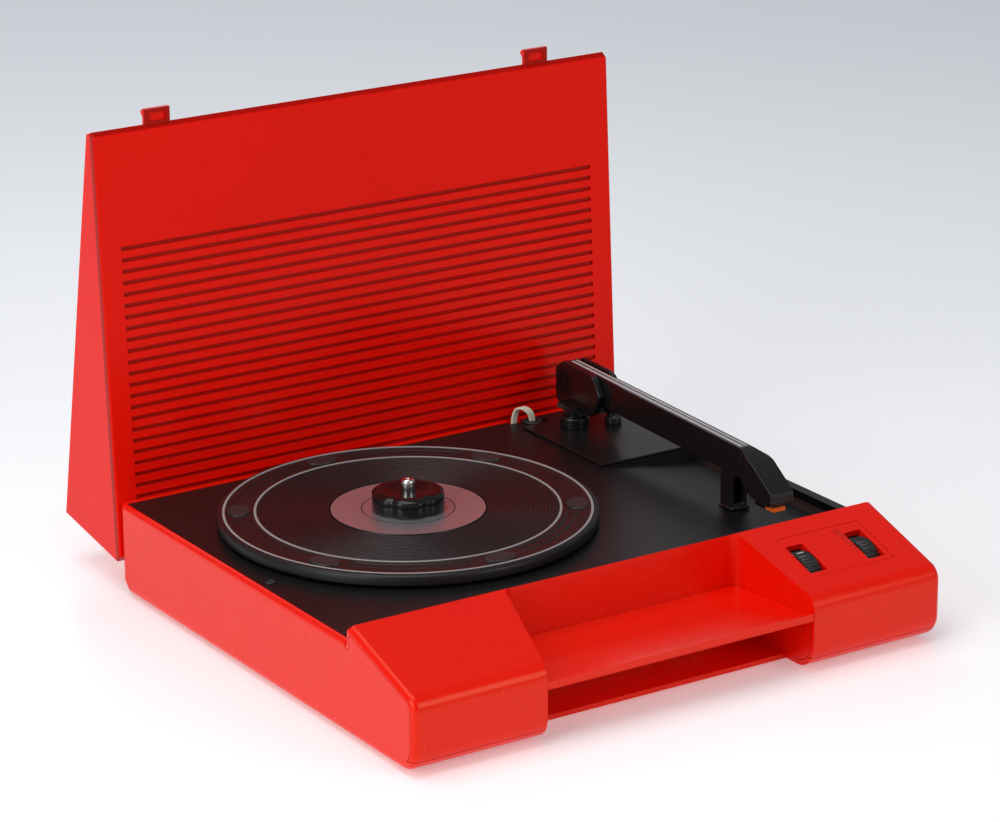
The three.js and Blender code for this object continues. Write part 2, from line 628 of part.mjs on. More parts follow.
add('arm_trim', box(ARM.offset - 1.6, ARM.offset + 1.6, ARM_LENGTH.front + 2.3, ARM_LENGTH.rear - 1.3,
  ARM.top - 0.8, ARM.top - 0.05), SILVER, arm);

const HEAD = { half: 7, wall: 1.2, knee: -171, lip: -189 };
function makeHeadshell() {
  const { half, wall, knee, lip } = HEAD;
  const join = ARM_LENGTH.front - GAP;
  const outline = shapeOf([
    [join, ARM.top], [knee, 80.5], [lip + 1, 70], [lip, 69], [lip, 62.6], [lip + 3, 61.6], [-172, 62.4], [join, armBottom],
  ]);
  const hollow = shapeOf([
    [join - 3, ARM.top - 3.4], [knee + 0.6, 78.6], [lip + 3, 69.2], [lip + wall, 67.6], [lip + wall, 50],
    [join - 3, 50],
  ]);
  const plan = shapeOf([
    [armLeft, join], [armRight, join], [ARM.offset + half, knee + 4], [ARM.offset + half, lip],
    [ARM.offset - half, lip], [ARM.offset - half, knee + 4],
  ].reverse());
  const body = common(sideExtrusion(outline, ARM.offset - half, ARM.offset + half), upright(plan, 40, 100));
  const innerHalf = half - wall;
  return cut(
    body,
    sideExtrusion(hollow, ARM.offset - Math.min(innerHalf, 3), ARM.offset + Math.min(innerHalf, 3)),
    common(sideExtrusion(hollow, ARM.offset - innerHalf, ARM.offset + innerHalf), box(-40, 40, lip, knee + 3, 0, 100)),
  );
}
add('headshell', makeHeadshell(), BLACK, arm);

const STYLUS_Z = 59.0;
function makeCartridge() {
  const body = box(ARM.offset - 4.8, ARM.offset + 4.8, -178, -169, 62.8, 72.5);
  const pod = box(ARM.offset - 3, ARM.offset + 3, -178, -169.5, STYLUS_Z - 1.4, 64);
  return cut(union(body, pod), rod(1.1, -180, -172, 20).rotateX(-Math.PI / 2).scale(1, 1, 1)
    .translate(ARM.offset, 0, STYLUS_Z + 0.6));
}
add('cartridge', makeCartridge(), GLOSS_BLACK, arm);

function makeStylusLever() {
  const tab = box(-3.8, 3.8, -187, -180, -1.1, 1.1);
  const shaft = rod(0.95, -181, -173, 20).rotateX(-Math.PI / 2);
  return union(tab, shaft).translate(ARM.offset, 0, STYLUS_Z + 0.6);
}
add('stylus_lever', makeStylusLever(), ORANGE, arm);

// ---------------------------------------------------------------- loudspeaker lid

const faceY = (z) => LID.faceY + (z - DECK.top) * Math.tan(LID.lean);

function lidOutline(inset = 0, openBack = 0) {
  const [topY, topZ] = LID.rimTop;
  const [lowY, lowZ] = LID.rimBottom;
  const shape = new THREE.Shape();
  shape.moveTo(faceY(LID.bottom) + 4 + inset * 0.4, LID.bottom + 0.4 + inset);
  shape.lineTo(lowY + openBack, lowZ + inset + openBack * 0.174);
  shape.lineTo(topY + openBack, topZ - inset + openBack * 0.1);
  shape.lineTo(faceY(LID.top) + 3.4 + inset * 0.4, LID.top - inset);
  shape.lineTo(faceY(LID.top) + inset, LID.top - 2.4 - inset * 0.4);
  shape.lineTo(faceY(LID.bottom) + inset, LID.bottom + 4 + inset * 0.4);
  return shape;
}

const faceFrame = (geometry, x, z, depth = 0) =>
  geometry.translate(0, 0, depth).rotateX(-Math.PI / 2 - LID.lean).translate(x, faceY(z), z);

function makeLid() {
  const outer = sideExtrusion(lidOutline(), LID.left, LID.right, LID.round > 2 ? 1.2 : 0);
  const hollow = sideExtrusion(lidOutline(WALL, 12), LID.left + WALL, LID.right - WALL);
  const grooves = [];
  for (let i = 0; i < LOUVRE.count; i++) {
    const z = LOUVRE.first - i * LOUVRE.pitch;
    const width = LOUVRE.right - LOUVRE.left;
    const mid = (LOUVRE.right + LOUVRE.left) / 2;
    const half = LOUVRE.height / 2;
    grooves.push(faceFrame(box(-width / 2, width / 2, -half, half, -1, LOUVRE.depth), mid, z));
    const reach = Math.sqrt(Math.max((SPEAKER.radius - 6) ** 2 - (z - SPEAKER.z) ** 2, 0));
    if (reach > 8) grooves.push(faceFrame(box(-reach, reach, -0.45, 0.45, 0, WALL + 2), SPEAKER.x, z));
  }
  const bosses = [[-1, -1], [1, -1], [-1, 1], [1, 1]].map(([i, j]) =>
    faceFrame(rod(4, WALL - 0.4, WALL + 4, 20), SPEAKER.x + i * 52, SPEAKER.z + j * 52));
  const ribs = [-100, -30].map((x) => common(
    sideExtrusion(lidOutline(WALL - 0.5), x - 0.9, x + 0.9),
    faceFrame(box(-5, 5, -200, 200, 0, 9), x, 130),
  ));
  const socketHole = box(SOCKET.x - 6.3, SOCKET.x + 6.3, SOCKET.y - 6.3, SOCKET.y + 6.3, 10, 40);
  return cut(union(cut(outer, hollow), ...bosses, ...ribs), ...grooves, socketHole,
    ...TABS.map((x) => box(x - 8, x + 8, faceY(LID.top) + 2.6, faceY(LID.top) + 5.6, 236, 250)));
}

add('lid_shell', makeLid(), LID_RED);

TABS.forEach((x, i) => {
  const y0 = faceY(LID.top) + 2.9;
  const stem = box(x - 7.4, x + 7.4, y0, y0 + 2.4, 238, 252);
  const foot = box(x - 11, x + 11, y0, y0 + 2.4, 236.6, 240.6);
  const nose = sideExtrusion(shapeOf([[y0 + 2.2, 247.5], [y0 + 4.6, 250], [y0 + 2.2, 252]]), x - 7.4, x + 7.4);
  const window = box(x - 4.6, x + 4.6, y0 - 1, y0 + 1.2, 245.4, 249.8);
  add(i ? 'latch_hook_right' : 'latch_hook_left', cut(union(stem, nose), window), LID_RED);
});

function makeBaffle() {
  const plate = box(-58, 58, -58, 58, WALL + 4 + GAP, WALL + 7);
  const hole = rod(43, 0, 20, 56);
  return faceFrame(cut(plate, hole), SPEAKER.x, SPEAKER.z);
}
add('speaker_baffle', makeBaffle(), BROWN);

const SPK = WALL + 7 + GAP;
function makeSpeakerFrame() {
  const { radius } = SPEAKER;
  const frame = turned([
    [radius - 6, SPK], [radius, SPK], [radius, SPK + 1.6], [radius - 4, SPK + 1.6], [25, SPK + 15],
    [25, SPK + 17], [15, SPK + 17], [15, SPK + 15.4], [22.6, SPK + 15.4], [radius - 7.6, SPK + 1.6],
  ], 32);
  const windows = [];
  for (let i = 0; i < 4; i++) {
    windows.push(box(29, 41, -13, 13, SPK + 2.4, SPK + 14).rotateZ((i * Math.PI) / 2 + Math.PI / 4));
  }
  return faceFrame(cut(frame, ...windows), SPEAKER.x, SPEAKER.z);
}
add('speaker_frame', makeSpeakerFrame(), STEEL);

add('speaker_cone', faceFrame(turned([
  [0, SPK + 9.6], [12, SPK + 9.2], [13.4, SPK + 11], [SPEAKER.radius - 11.5, SPK + 0.8], [SPEAKER.radius - 8.6, SPK + 0.2],
  [SPEAKER.radius - 8.6, SPK + 0.9], [SPEAKER.radius - 11, SPK + 1.6], [13.4, SPK + 12], [0, SPK + 12],
], 32), SPEAKER.x, SPEAKER.z), PAPER);

add('speaker_magnet', faceFrame(turned([
  [0, SPK + 17.3], [18, SPK + 17.3], [19, SPK + 18], [19, SPK + 24.5], [18, SPK + 25.3], [0, SPK + 25.3],
], 24), SPEAKER.x, SPEAKER.z), STEEL);

// ---------------------------------------------------------------- speaker lead

const plugPins = [-2.2, 2.2];
function makeSocket() {
  const body = union(
    box(SOCKET.x - 6, SOCKET.x + 6, SOCKET.y - 6, SOCKET.y + 6, SOCKET.z + 1, SOCKET.z + 14),
    box(SOCKET.x - 9, SOCKET.x + 9, SOCKET.y - 9, SOCKET.y + 9, SOCKET.z + 5.4, SOCKET.z + 8),
  );
  return cut(body, ...plugPins.map((x) => rod(1.5, 0, SOCKET.z + 11, 16).translate(SOCKET.x + x, SOCKET.y, 0)));
}
add('lid_socket', makeSocket(), GLOSS_BLACK);

function makePlug() {
  const z1 = SOCKET.z + 0.6;
  const body = turned([[0, z1 - 12], [2.6, z1 - 12], [4.6, z1 - 8], [5, z1 - 1], [4.6, z1], [0, z1]], 28);
  const pins = plugPins.map((x) => rod(1.1, z1 - 1, z1 + 8, 16).translate(x, 0, 0));
  return union(body, ...pins).translate(SOCKET.x, SOCKET.y, 0);
}
add('lead_plug', makePlug(), GLOSS_BLACK);

const flatLead = (points, steps) => {
  const path = new THREE.CatmullRomCurve3(points.map((p) => new THREE.Vector3(...p)), false, 'centripetal');
  const shape = new THREE.Shape();
  shape.absellipse(0, 0, LEAD.thick / 2, LEAD.width / 2, 0, 2 * Math.PI, false, 0);
  return new THREE.ExtrudeGeometry(shape, { steps, extrudePath: path, curveSegments: 4 });
};

// Out of the grommet, over the rear rim, down its channel, under the lid and up into the plug.
const LEAD_ROUTE = [
  [LEAD.x + 8, 279, 40], [LEAD.x + 8, 279, 46], [LEAD.x + 7.8, 279, 51], [LEAD.x + 6.6, 279.6, 55.4],
  [LEAD.x + 4, 281.8, 57.6], [LEAD.x + 1.6, 284.2, 56.6], [LEAD.x + 0.4, 285.3, 52.6], [LEAD.x, 285.5, 46],
  [LEAD.x, 285.5, 34], [LEAD.x, 285.7, 20], [LEAD.x, 287, 11], [LEAD.x, 291.5, 5.6], [LEAD.x, 299, 3.6],
  [LEAD.x, 310, 3], [LEAD.x, 322, 3.2], [LEAD.x, 329, 5.4], [LEAD.x, 332, 10.6],
];
add('speaker_lead', flatLead(LEAD_ROUTE, 48), CREAM);

add('lead_grommet', turned([
  [2.9, 46.2], [4.2, 46.2], [4.2, 49.9], [5.6, 50.1], [5.6, 50.9], [4.4, 51.4], [2.9, 51.4],
], 24).translate(LEAD.x + 8, 279, 0), RUBBER);

const LID_LEAD_ROUTE = [
  [SOCKET.x, SOCKET.y, SOCKET.z + 14.3], [SOCKET.x - 0.5, SOCKET.y, SOCKET.z + 22], [SOCKET.x - 4, SOCKET.y - 2, 58],
  [SPEAKER.x + 16, 325, 70], [SPEAKER.x + 5, 323.5, 74.5],
];
add('lid_lead', flatLead(LID_LEAD_ROUTE, 20), CREAM);

// ---------------------------------------------------------------- place on the table

root.updateMatrixWorld(true);
const extent = new THREE.Box3().setFromObject(root, true);
root.position.set(-(extent.min.x + extent.max.x) / 2, -(extent.min.y + extent.max.y) / 2, 0);

export default root;
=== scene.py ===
import json
import math

import bmesh
import bpy
import numpy as np
from mathutils import Matrix, Vector

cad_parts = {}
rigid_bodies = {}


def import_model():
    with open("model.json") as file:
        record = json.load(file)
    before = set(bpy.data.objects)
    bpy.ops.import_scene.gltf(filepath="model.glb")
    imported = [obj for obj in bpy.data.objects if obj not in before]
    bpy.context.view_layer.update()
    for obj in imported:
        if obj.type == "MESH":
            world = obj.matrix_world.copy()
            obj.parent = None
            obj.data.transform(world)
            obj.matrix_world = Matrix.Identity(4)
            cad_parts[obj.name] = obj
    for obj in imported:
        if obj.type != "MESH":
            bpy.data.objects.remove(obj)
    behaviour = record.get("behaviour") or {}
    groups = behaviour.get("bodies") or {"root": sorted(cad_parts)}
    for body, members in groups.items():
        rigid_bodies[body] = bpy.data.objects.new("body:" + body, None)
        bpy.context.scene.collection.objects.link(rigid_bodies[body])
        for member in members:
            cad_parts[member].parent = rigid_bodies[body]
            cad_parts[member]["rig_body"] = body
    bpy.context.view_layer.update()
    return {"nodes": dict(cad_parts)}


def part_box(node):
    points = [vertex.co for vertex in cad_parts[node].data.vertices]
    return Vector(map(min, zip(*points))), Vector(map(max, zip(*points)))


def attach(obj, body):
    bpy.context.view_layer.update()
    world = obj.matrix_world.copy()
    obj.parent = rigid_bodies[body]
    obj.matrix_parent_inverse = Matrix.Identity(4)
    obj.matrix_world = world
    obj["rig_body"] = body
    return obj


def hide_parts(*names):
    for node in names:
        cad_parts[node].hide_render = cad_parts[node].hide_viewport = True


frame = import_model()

# ---------------------------------------------------------------- camera
# A long lens on a tripod, a little above the table, looking down over the left front corner of the open
# record player. It stands about two metres away, so the box shows almost no convergence.

CAMERA_PLACE = (-1.01117, -1.57823, 0.73303)
CAMERA_AZIMUTH = math.radians(-32.83)
CAMERA_ELEVATION = math.radians(18.61)
CAMERA_ROLL = math.radians(-0.361)
CAMERA_LENS = 139.34


def camera_axes(azimuth, elevation, roll):
    """Unit vectors right, up and back of a camera turned to an azimuth and elevation.

    The right and up vectors are then rolled about the line of sight.
    """
    back = np.array(
        [math.sin(azimuth) * math.cos(elevation), -math.cos(azimuth) * math.cos(elevation), math.sin(elevation)]
    )
    right = np.array([math.cos(azimuth), math.sin(azimuth), 0.0])
    up = np.cross(back, right)
    rolled_right = math.cos(roll) * right + math.sin(roll) * up
    rolled_up = -math.sin(roll) * right + math.cos(roll) * up
    return rolled_right, rolled_up, back


camera_data = bpy.data.cameras.new("camera")
camera_data.lens = CAMERA_LENS
camera_data.sensor_width = 36.0
camera_data.clip_start = 0.05
camera_data.clip_end = 60.0
camera = bpy.data.objects.new("camera", camera_data)
bpy.context.scene.collection.objects.link(camera)
camera_columns = np.eye(4)
camera_columns[:3, :3] = np.array(camera_axes(CAMERA_AZIMUTH, CAMERA_ELEVATION, CAMERA_ROLL)).T
camera_columns[:3, 3] = CAMERA_PLACE
camera.matrix_world = Matrix(camera_columns.tolist())
bpy.context.scene.camera = camera

# ---------------------------------------------------------------- loudspeaker lead
# Flat twin flex in cream PVC, two cores side by side with a web between them. One length comes up through
# the grommet, bends over the rear rim and goes down to the plug; the other runs from the socket to the speaker.

LEAD_WIDTH = 0.004
LEAD_THICKNESS = 0.002
LEAD_STEPS = 220
LEAD_ROUND = 28
LEAD_WEB_SHARE = 0.62
MEETING_GAP = 1e-7
SHARP_EDGE = math.radians(38)
LEAD_POINTS = [
    (0.0935, 0.1010, 0.0400), (0.0935, 0.1010, 0.0460), (0.0933, 0.1010, 0.0510), (0.0921, 0.1016, 0.0554),
    (0.0895, 0.1038, 0.0576), (0.0871, 0.1062, 0.0566), (0.0859, 0.1073, 0.0526), (0.0855, 0.1075, 0.0460),
    (0.0855, 0.1075, 0.0340), (0.0855, 0.1077, 0.0200), (0.0855, 0.1090, 0.0110), (0.0855, 0.1135, 0.0056),
    (0.0855, 0.1210, 0.0036), (0.0855, 0.1320, 0.0030), (0.0855, 0.1440, 0.0032), (0.0855, 0.1510, 0.0054),
    (0.0855, 0.1540, 0.0106),
]
LID_LEAD_POINTS = [
    (0.0855, 0.1540, 0.0373), (0.0850, 0.1540, 0.0450), (0.0815, 0.1520, 0.0580), (0.0740, 0.1470, 0.0700),
    (0.0630, 0.1455, 0.0745),
]


def flowing_line(points, steps):
    """A centripetal Catmull-Rom line through the points.

    Between two points the four nearest are blended by their knot times.
    """
    points = np.asarray(points, float)
    padded = np.vstack([2 * points[0] - points[1], points, 2 * points[-1] - points[-2]])
    gaps = np.sqrt(np.linalg.norm(np.diff(padded, axis=0), axis=1))
    knots = np.concatenate([[0.0], np.cumsum(gaps)])
    times = np.linspace(knots[1], knots[-2], steps)
    span = np.clip(np.searchsorted(knots, times, side="right") - 1, 1, len(points) - 1)

    def between(a, b, ka, kb):
        return ((kb - times) / (kb - ka))[:, None] * a + ((times - ka) / (kb - ka))[:, None] * b

    k0, k1, k2, k3 = (knots[span + i] for i in (-1, 0, 1, 2))
    p0, p1, p2, p3 = (padded[span + i] for i in (-1, 0, 1, 2))
    a1, a2, a3 = between(p0, p1, k0, k1), between(p1, p2, k1, k2), between(p2, p3, k2, k3)
    b1, b2 = between(a1, a2, k0, k2), between(a2, a3, k1, k3)
    return between(b1, b2, k1, k2)


def grid_piece(name, rings, cap_start=True, cap_end=True):
    """A mesh from an array of closed rings, each the same number of points.

    Neighbouring points and rings share a quad, and each end ring may be closed by one face.
    """
    count, points = rings.shape[0], rings.shape[1]
    here = np.arange(count * points).reshape(count, points)
    ahead = np.roll(here, -1, axis=1)
    faces = np.stack([here[:-1], ahead[:-1], ahead[1:], here[1:]], axis=-1).reshape(-1, 4).tolist()
    if cap_start:
        faces.append(here[0, ::-1].tolist())
    if cap_end:
        faces.append(here[-1].tolist())
    mesh = bpy.data.meshes.new(name)
    mesh.from_pydata(rings.reshape(-1, 3).tolist(), [], faces)
    mesh.validate()
    tidy = bmesh.new()
    tidy.from_mesh(mesh)
    bmesh.ops.remove_doubles(tidy, verts=tidy.verts, dist=MEETING_GAP)
    bmesh.ops.recalc_face_normals(tidy, faces=tidy.faces)
    tidy.to_mesh(mesh)
    tidy.free()
    mesh.shade_smooth()
    mesh.set_sharp_from_angle(angle=SHARP_EDGE)
    piece = bpy.data.objects.new(name, mesh)
    bpy.context.scene.collection.objects.link(piece)
    return piece


def twin_flex(name, line, across):
    """Two round cores and the web between them, carried along the line.

    The half width is w cos t and the half thickness h sin t, thinner at the web, where cos t is near nought.
    """
    along = np.gradient(line, axis=0)
    along /= np.linalg.norm(along, axis=1)[:, None]
    wide = np.asarray(across, float) - along * (along @ np.asarray(across, float))[:, None]
    wide /= np.linalg.norm(wide, axis=1)[:, None]
    deep = np.cross(along, wide)
    turn = np.linspace(0, 2 * np.pi, LEAD_ROUND, endpoint=False)
    half_width = LEAD_WIDTH / 2 * np.cos(turn)
    core = np.abs(np.sin(2 * turn)) ** 0.7
    half_depth = LEAD_THICKNESS / 2 * np.sin(turn) * (LEAD_WEB_SHARE + (1 - LEAD_WEB_SHARE) * core)
    rings = (
        line[:, None, :] + half_width[None, :, None] * wide[:, None, :] + half_depth[None, :, None] * deep[:, None, :]
    )
    return grid_piece(name, rings)


def effect_group(name, inputs, outputs):
    """An empty shader node group with these float inputs and outputs, ready for its nodes."""
    group = bpy.data.node_groups.new(name, "ShaderNodeTree")
    for title, value in inputs.items():
        group.interface.new_socket(title, in_out="INPUT", socket_type="NodeSocketFloat").default_value = value
    for title in outputs:
        group.interface.new_socket(title, in_out="OUTPUT", socket_type="NodeSocketFloat")
    return group, group.nodes.new("NodeGroupInput"), group.nodes.new("NodeGroupOutput")


def worked(tree, operation, *values):
    """A Math node in the tree: each value is a number or another node's output."""
    node = tree.nodes.new("ShaderNodeMath")
    node.operation = operation
    for socket, value in zip(node.inputs, values):
        if isinstance(value, (int, float)):
            socket.default_value = value
        else:
            tree.links.new(value, socket)
    return node.outputs[0]


def moulded_skin():
    """Injection moulded plastic: cloudy tone, a fine grain for the bump, and short scuffs that change the gloss."""
    group, start, end = effect_group(
        "moulded_skin",
        {"Grain": 900.0, "Cloud": 14.0, "Gloss": 0.3, "Spread": 0.08, "Scuffs": 0.3},
        ["Tone", "Roughness", "Height"],
    )
    place = group.nodes.new("ShaderNodeTexCoord").outputs["Object"]
    cloud, grain, scuff = (group.nodes.new("ShaderNodeTexNoise") for _ in range(3))
    stretch = group.nodes.new("ShaderNodeMapping")
    stretch.inputs["Rotation"].default_value = (0.3, 0.2, 0.7)
    stretch.inputs["Scale"].default_value = (1100.0, 70.0, 160.0)
    group.links.new(place, stretch.inputs["Vector"])
    for node, scale, detail in ((cloud, "Cloud", 4.0), (grain, "Grain", 3.0)):
        group.links.new(place, node.inputs["Vector"])
        group.links.new(start.outputs[scale], node.inputs["Scale"])
        node.inputs["Detail"].default_value = detail
    group.links.new(stretch.outputs[0], scuff.inputs["Vector"])
    scuff.inputs["Scale"].default_value = 1.0
    scuff.inputs["Detail"].default_value = 2.0
    marks = worked(group, "MULTIPLY", worked(group, "SUBTRACT", scuff.outputs["Fac"], 0.62), 7.0)
    marks = worked(group, "MINIMUM", worked(group, "MAXIMUM", marks, 0.0), 1.0)
    marks = worked(group, "MULTIPLY", marks, start.outputs["Scuffs"])
    centred = worked(group, "SUBTRACT", cloud.outputs["Fac"], 0.5)
    rough = worked(group, "MULTIPLY_ADD", centred, start.outputs["Spread"], start.outputs["Gloss"])
    rough = worked(group, "MULTIPLY_ADD", marks, 0.12, rough)
    tone = worked(group, "MULTIPLY_ADD", centred, 1.6, 0.5)
    tone = worked(group, "MINIMUM", worked(group, "MAXIMUM", tone, 0.0), 1.0)
    group.links.new(tone, end.inputs["Tone"])
    group.links.new(rough, end.inputs["Roughness"])
    group.links.new(grain.outputs["Fac"], end.inputs["Height"])
    return group


def settled_dust():
    """Fine dust: small bright cells of a noise, thicker on faces that look up, put out as a mask from nought to one."""
    group, start, end = effect_group("settled_dust", {"Fineness": 1400.0, "Amount": 0.3}, ["Mask"])
    place = group.nodes.new("ShaderNodeTexCoord")
    speck = group.nodes.new("ShaderNodeTexNoise")
    patch = group.nodes.new("ShaderNodeTexNoise")
    split = group.nodes.new("ShaderNodeSeparateXYZ")
    group.links.new(place.outputs["Object"], speck.inputs["Vector"])
    group.links.new(place.outputs["Object"], patch.inputs["Vector"])
    group.links.new(start.outputs["Fineness"], speck.inputs["Scale"])
    patch.inputs["Scale"].default_value = 30.0
    group.links.new(place.outputs["Normal"], split.inputs[0])
    upward = worked(group, "MAXIMUM", split.outputs["Z"], 0.0)
    grains = worked(group, "MULTIPLY", worked(group, "SUBTRACT", speck.outputs["Fac"], 0.66), 9.0)
    grains = worked(group, "MINIMUM", worked(group, "MAXIMUM", grains, 0.0), 1.0)
    mask = worked(group, "MULTIPLY", worked(group, "MULTIPLY", grains, patch.outputs["Fac"]), upward)
    group.links.new(worked(group, "MULTIPLY", mask, start.outputs["Amount"]), end.inputs["Mask"])
    return group


skin_group = moulded_skin()
dust_group = settled_dust()
DUST_COLOUR = (0.55, 0.53, 0.5, 1.0)


def moulding(name, colour, shade, gloss, spread=0.08, grain=900.0, depth=8e-6, scuffs=0.3, dust=0.15,
             metallic=0.0, sheen=0.0, shine=0.5, tint=(1.0, 1.0, 1.0)):
    """A finish in the shared skin: colour drifts towards shade, and roughness round gloss by its spread.

    The grain has its scale per metre and its depth in metres.
    """
    material = bpy.data.materials.new(name)
    material.use_nodes = True
    tree = material.node_tree
    shader = tree.nodes["Principled BSDF"]
    skin = tree.nodes.new("ShaderNodeGroup")
    skin.node_tree = skin_group
    for title, value in (("Grain", grain), ("Gloss", gloss), ("Spread", spread), ("Scuffs", scuffs)):
        skin.inputs[title].default_value = value
    specks = tree.nodes.new("ShaderNodeGroup")
    specks.node_tree = dust_group
    specks.inputs["Amount"].default_value = dust
    drift, dusty = tree.nodes.new("ShaderNodeMix"), tree.nodes.new("ShaderNodeMix")
    drift.data_type = dusty.data_type = "RGBA"
    drift.inputs[6].default_value = (*colour, 1.0)
    drift.inputs[7].default_value = (*shade, 1.0)
    dusty.inputs[7].default_value = DUST_COLOUR
    tree.links.new(skin.outputs["Tone"], drift.inputs[0])
    tree.links.new(specks.outputs["Mask"], dusty.inputs[0])
    tree.links.new(drift.outputs[2], dusty.inputs[6])
    tree.links.new(dusty.outputs[2], shader.inputs["Base Color"])
    tree.links.new(skin.outputs["Roughness"], shader.inputs["Roughness"])
    bump = tree.nodes.new("ShaderNodeBump")
    bump.inputs["Distance"].default_value = depth
    tree.links.new(skin.outputs["Height"], bump.inputs["Height"])
    tree.links.new(bump.outputs["Normal"], shader.inputs["Normal"])
    shader.inputs["Metallic"].default_value = metallic
    shader.inputs["Sheen Weight"].default_value = sheen
    shader.inputs["Specular IOR Level"].default_value = shine
    shader.inputs["Specular Tint"].default_value = (*tint, 1.0)
    return material


def dress(piece, material, body, slot, *nodes):
    """Gives the piece its one material and the body it moves with, and hides the CAD nodes it stands for. The slot
    argument is not used.
    """
    piece.data.materials.clear()
    piece.data.materials.append(material)
    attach(piece, body)
    if nodes:
        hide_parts(*nodes)
    return piece


cream_pvc = moulding("cream_pvc", (0.72, 0.66, 0.52), (0.62, 0.55, 0.42), 0.42, grain=1600.0, depth=1e-5, dust=0.2)
lead_line = flowing_line(LEAD_POINTS, LEAD_STEPS)
speaker_lead = dress(twin_flex("speaker_flex", lead_line, (1, 0, 0)), cream_pvc, "base", "lead_cream", "speaker_lead")
lid_lead_line = flowing_line(LID_LEAD_POINTS, LEAD_STEPS // 3)
dress(twin_flex("lid_flex", lid_lead_line, (1, 0, 0)), cream_pvc, "lid", "lead_cream", "lid_lead")


WELD_STEP = 2e-6
CREASE_ANGLE = math.radians(28)
EDGE_ROUNDS = 2
NORMAL_WEIGHT = 50


def merged_copy(node, name):
    """A mesh of the node's triangles with the corners that share a place made one."""
    source = frame["nodes"][node].data
    corners = np.empty(len(source.vertices) * 3)
    source.vertices.foreach_get("co", corners)
    corners = corners.reshape(-1, 3)
    loops = np.empty(len(source.loops), dtype=np.int64)
    source.loops.foreach_get("vertex_index", loops)
    cells = np.round(corners / WELD_STEP).astype(np.int64)
    _, first, shared = np.unique(cells, axis=0, return_index=True, return_inverse=True)
    triangles = shared.reshape(-1)[loops].reshape(-1, 3)
    sound = (triangles != np.roll(triangles, -1, axis=1)).all(axis=1)
    mesh = bpy.data.meshes.new(name)
    mesh.from_pydata(corners[first].tolist(), [], triangles[sound].tolist())
    return mesh


def eased(node, material, slot, edge):
    """A copy of a CAD node, riding where the node rides, with its sharp edges eased by the tool's small radius."""
    name = node + "_moulding"
    piece = bpy.data.objects.new(name, merged_copy(node, name))
    bpy.context.scene.collection.objects.link(piece)
    piece.data.shade_smooth()
    soften = piece.modifiers.new("edge", "BEVEL")
    soften.width = edge
    soften.segments = EDGE_ROUNDS
    soften.limit_method = "ANGLE"
    soften.angle_limit = CREASE_ANGLE
    soften.use_clamp_overlap = True
    settle = piece.modifiers.new("normals", "WEIGHTED_NORMAL")
    settle.weight = NORMAL_WEIGHT
    return dress(piece, material, frame["nodes"][node]["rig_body"], slot, node)


hard_black = moulding("hard_black", (0.014, 0.014, 0.015), (0.02, 0.02, 0.021), 0.3, grain=1200.0, depth=8e-6)
lead_plug = eased("lead_plug", hard_black, "gloss_black", 0.0003)

# ---------------------------------------------------------------- case of the base
# The tray and the two-winged front block are thick red polystyrene mouldings with a satin shine. The front
# block drops into the tray's front edge, and the carrying handle is the bar left between the two wings.

case_red = moulding("case_red", (0.84, 0.0075, 0.0009), (0.78, 0.0055, 0.0007), 0.27, grain=700.0, depth=7e-6,
                    scuffs=0.15, dust=0.02, shine=0.38, tint=(1.0, 0.72, 0.44))
eased("base_tray", case_red, "red_moulding", 0.0005)
eased("front_cover", case_red, "red_moulding", 0.0006)
eased("handle_bar", case_red, "red_moulding", 0.0006)
eased("control_panel", case_red, "red_moulding", 0.00025)

# ---------------------------------------------------------------- feet and mains inlet
# Four black rubber buttons are pushed into the underside. The inlet is a recessed two-pin socket in the
# right wall, in hard black plastic.

foot_rubber = moulding("foot_rubber", (0.018, 0.018, 0.018), (0.028, 0.027, 0.026), 0.62, grain=1500.0, depth=2e-5)
for number in range(1, 5):
    eased(f"foot_{number}", foot_rubber, "rubber", 0.0006)
eased("mains_inlet", hard_black, "gloss_black", 0.0003)

# ---------------------------------------------------------------- deck
# The deck is one black styrene moulding with a spark-eroded grain, screwed down over the tray. Its right side
# is sunk under the arm, where painted shade darkens it. The pivot plate is a separate raised cover on the rear right
# corner.

deck_black = moulding("deck_black", (0.0045, 0.0043, 0.0044), (0.0085, 0.008, 0.008), 0.38, spread=0.12, grain=2400.0,
                      depth=3e-5, dust=0.35, shine=0.25)


def darker_where(material, mask, colour, share=1.0):
    """Lays a second colour over the finish where the mask output is one, before the colour reaches the shader."""
    tree = material.node_tree
    shader = tree.nodes["Principled BSDF"]
    under = shader.inputs["Base Color"].links[0].from_socket
    over = tree.nodes.new("ShaderNodeMix")
    over.data_type = "RGBA"
    over.inputs[7].default_value = (*colour, 1.0)
    tree.links.new(worked(tree, "MULTIPLY", mask, share), over.inputs[0])
    tree.links.new(under, over.inputs[6])
    tree.links.new(over.outputs[2], shader.inputs["Base Color"])


def place_axes(tree):
    """The X, Y and Z outputs of the piece's own place."""
    split = tree.nodes.new("ShaderNodeSeparateXYZ")
    tree.links.new(tree.nodes.new("ShaderNodeTexCoord").outputs["Object"], split.inputs[0])
    return split.outputs


TROUGH_LEFT = 0.0845
TROUGH_REAR = 0.0170
# Painted shade: the sunk trough under the arm gets a darker colour laid over the deck's finish, standing in for its
# darker reflection.
TROUGH_PAINTED_SHADE = (0.0035, 0.0034, 0.0036)
deck_tree = deck_black.node_tree
deck_place = place_axes(deck_tree)
in_trough = worked(deck_tree, "MULTIPLY", worked(deck_tree, "GREATER_THAN", deck_place["X"], TROUGH_LEFT),
                   worked(deck_tree, "LESS_THAN", deck_place["Y"], TROUGH_REAR))
darker_where(deck_black, in_trough, TROUGH_PAINTED_SHADE)
eased("deck_plate", deck_black, "deck_black", 0.00035)
eased("pivot_plate", deck_black, "deck_black", 0.00045)

# ---------------------------------------------------------------- deck screws
# Two blackened steel screws, turned and slotted, hold the deck down at the left and rear edges. The small
# black post beside the arm is a separate moulding pushed into the pivot plate.

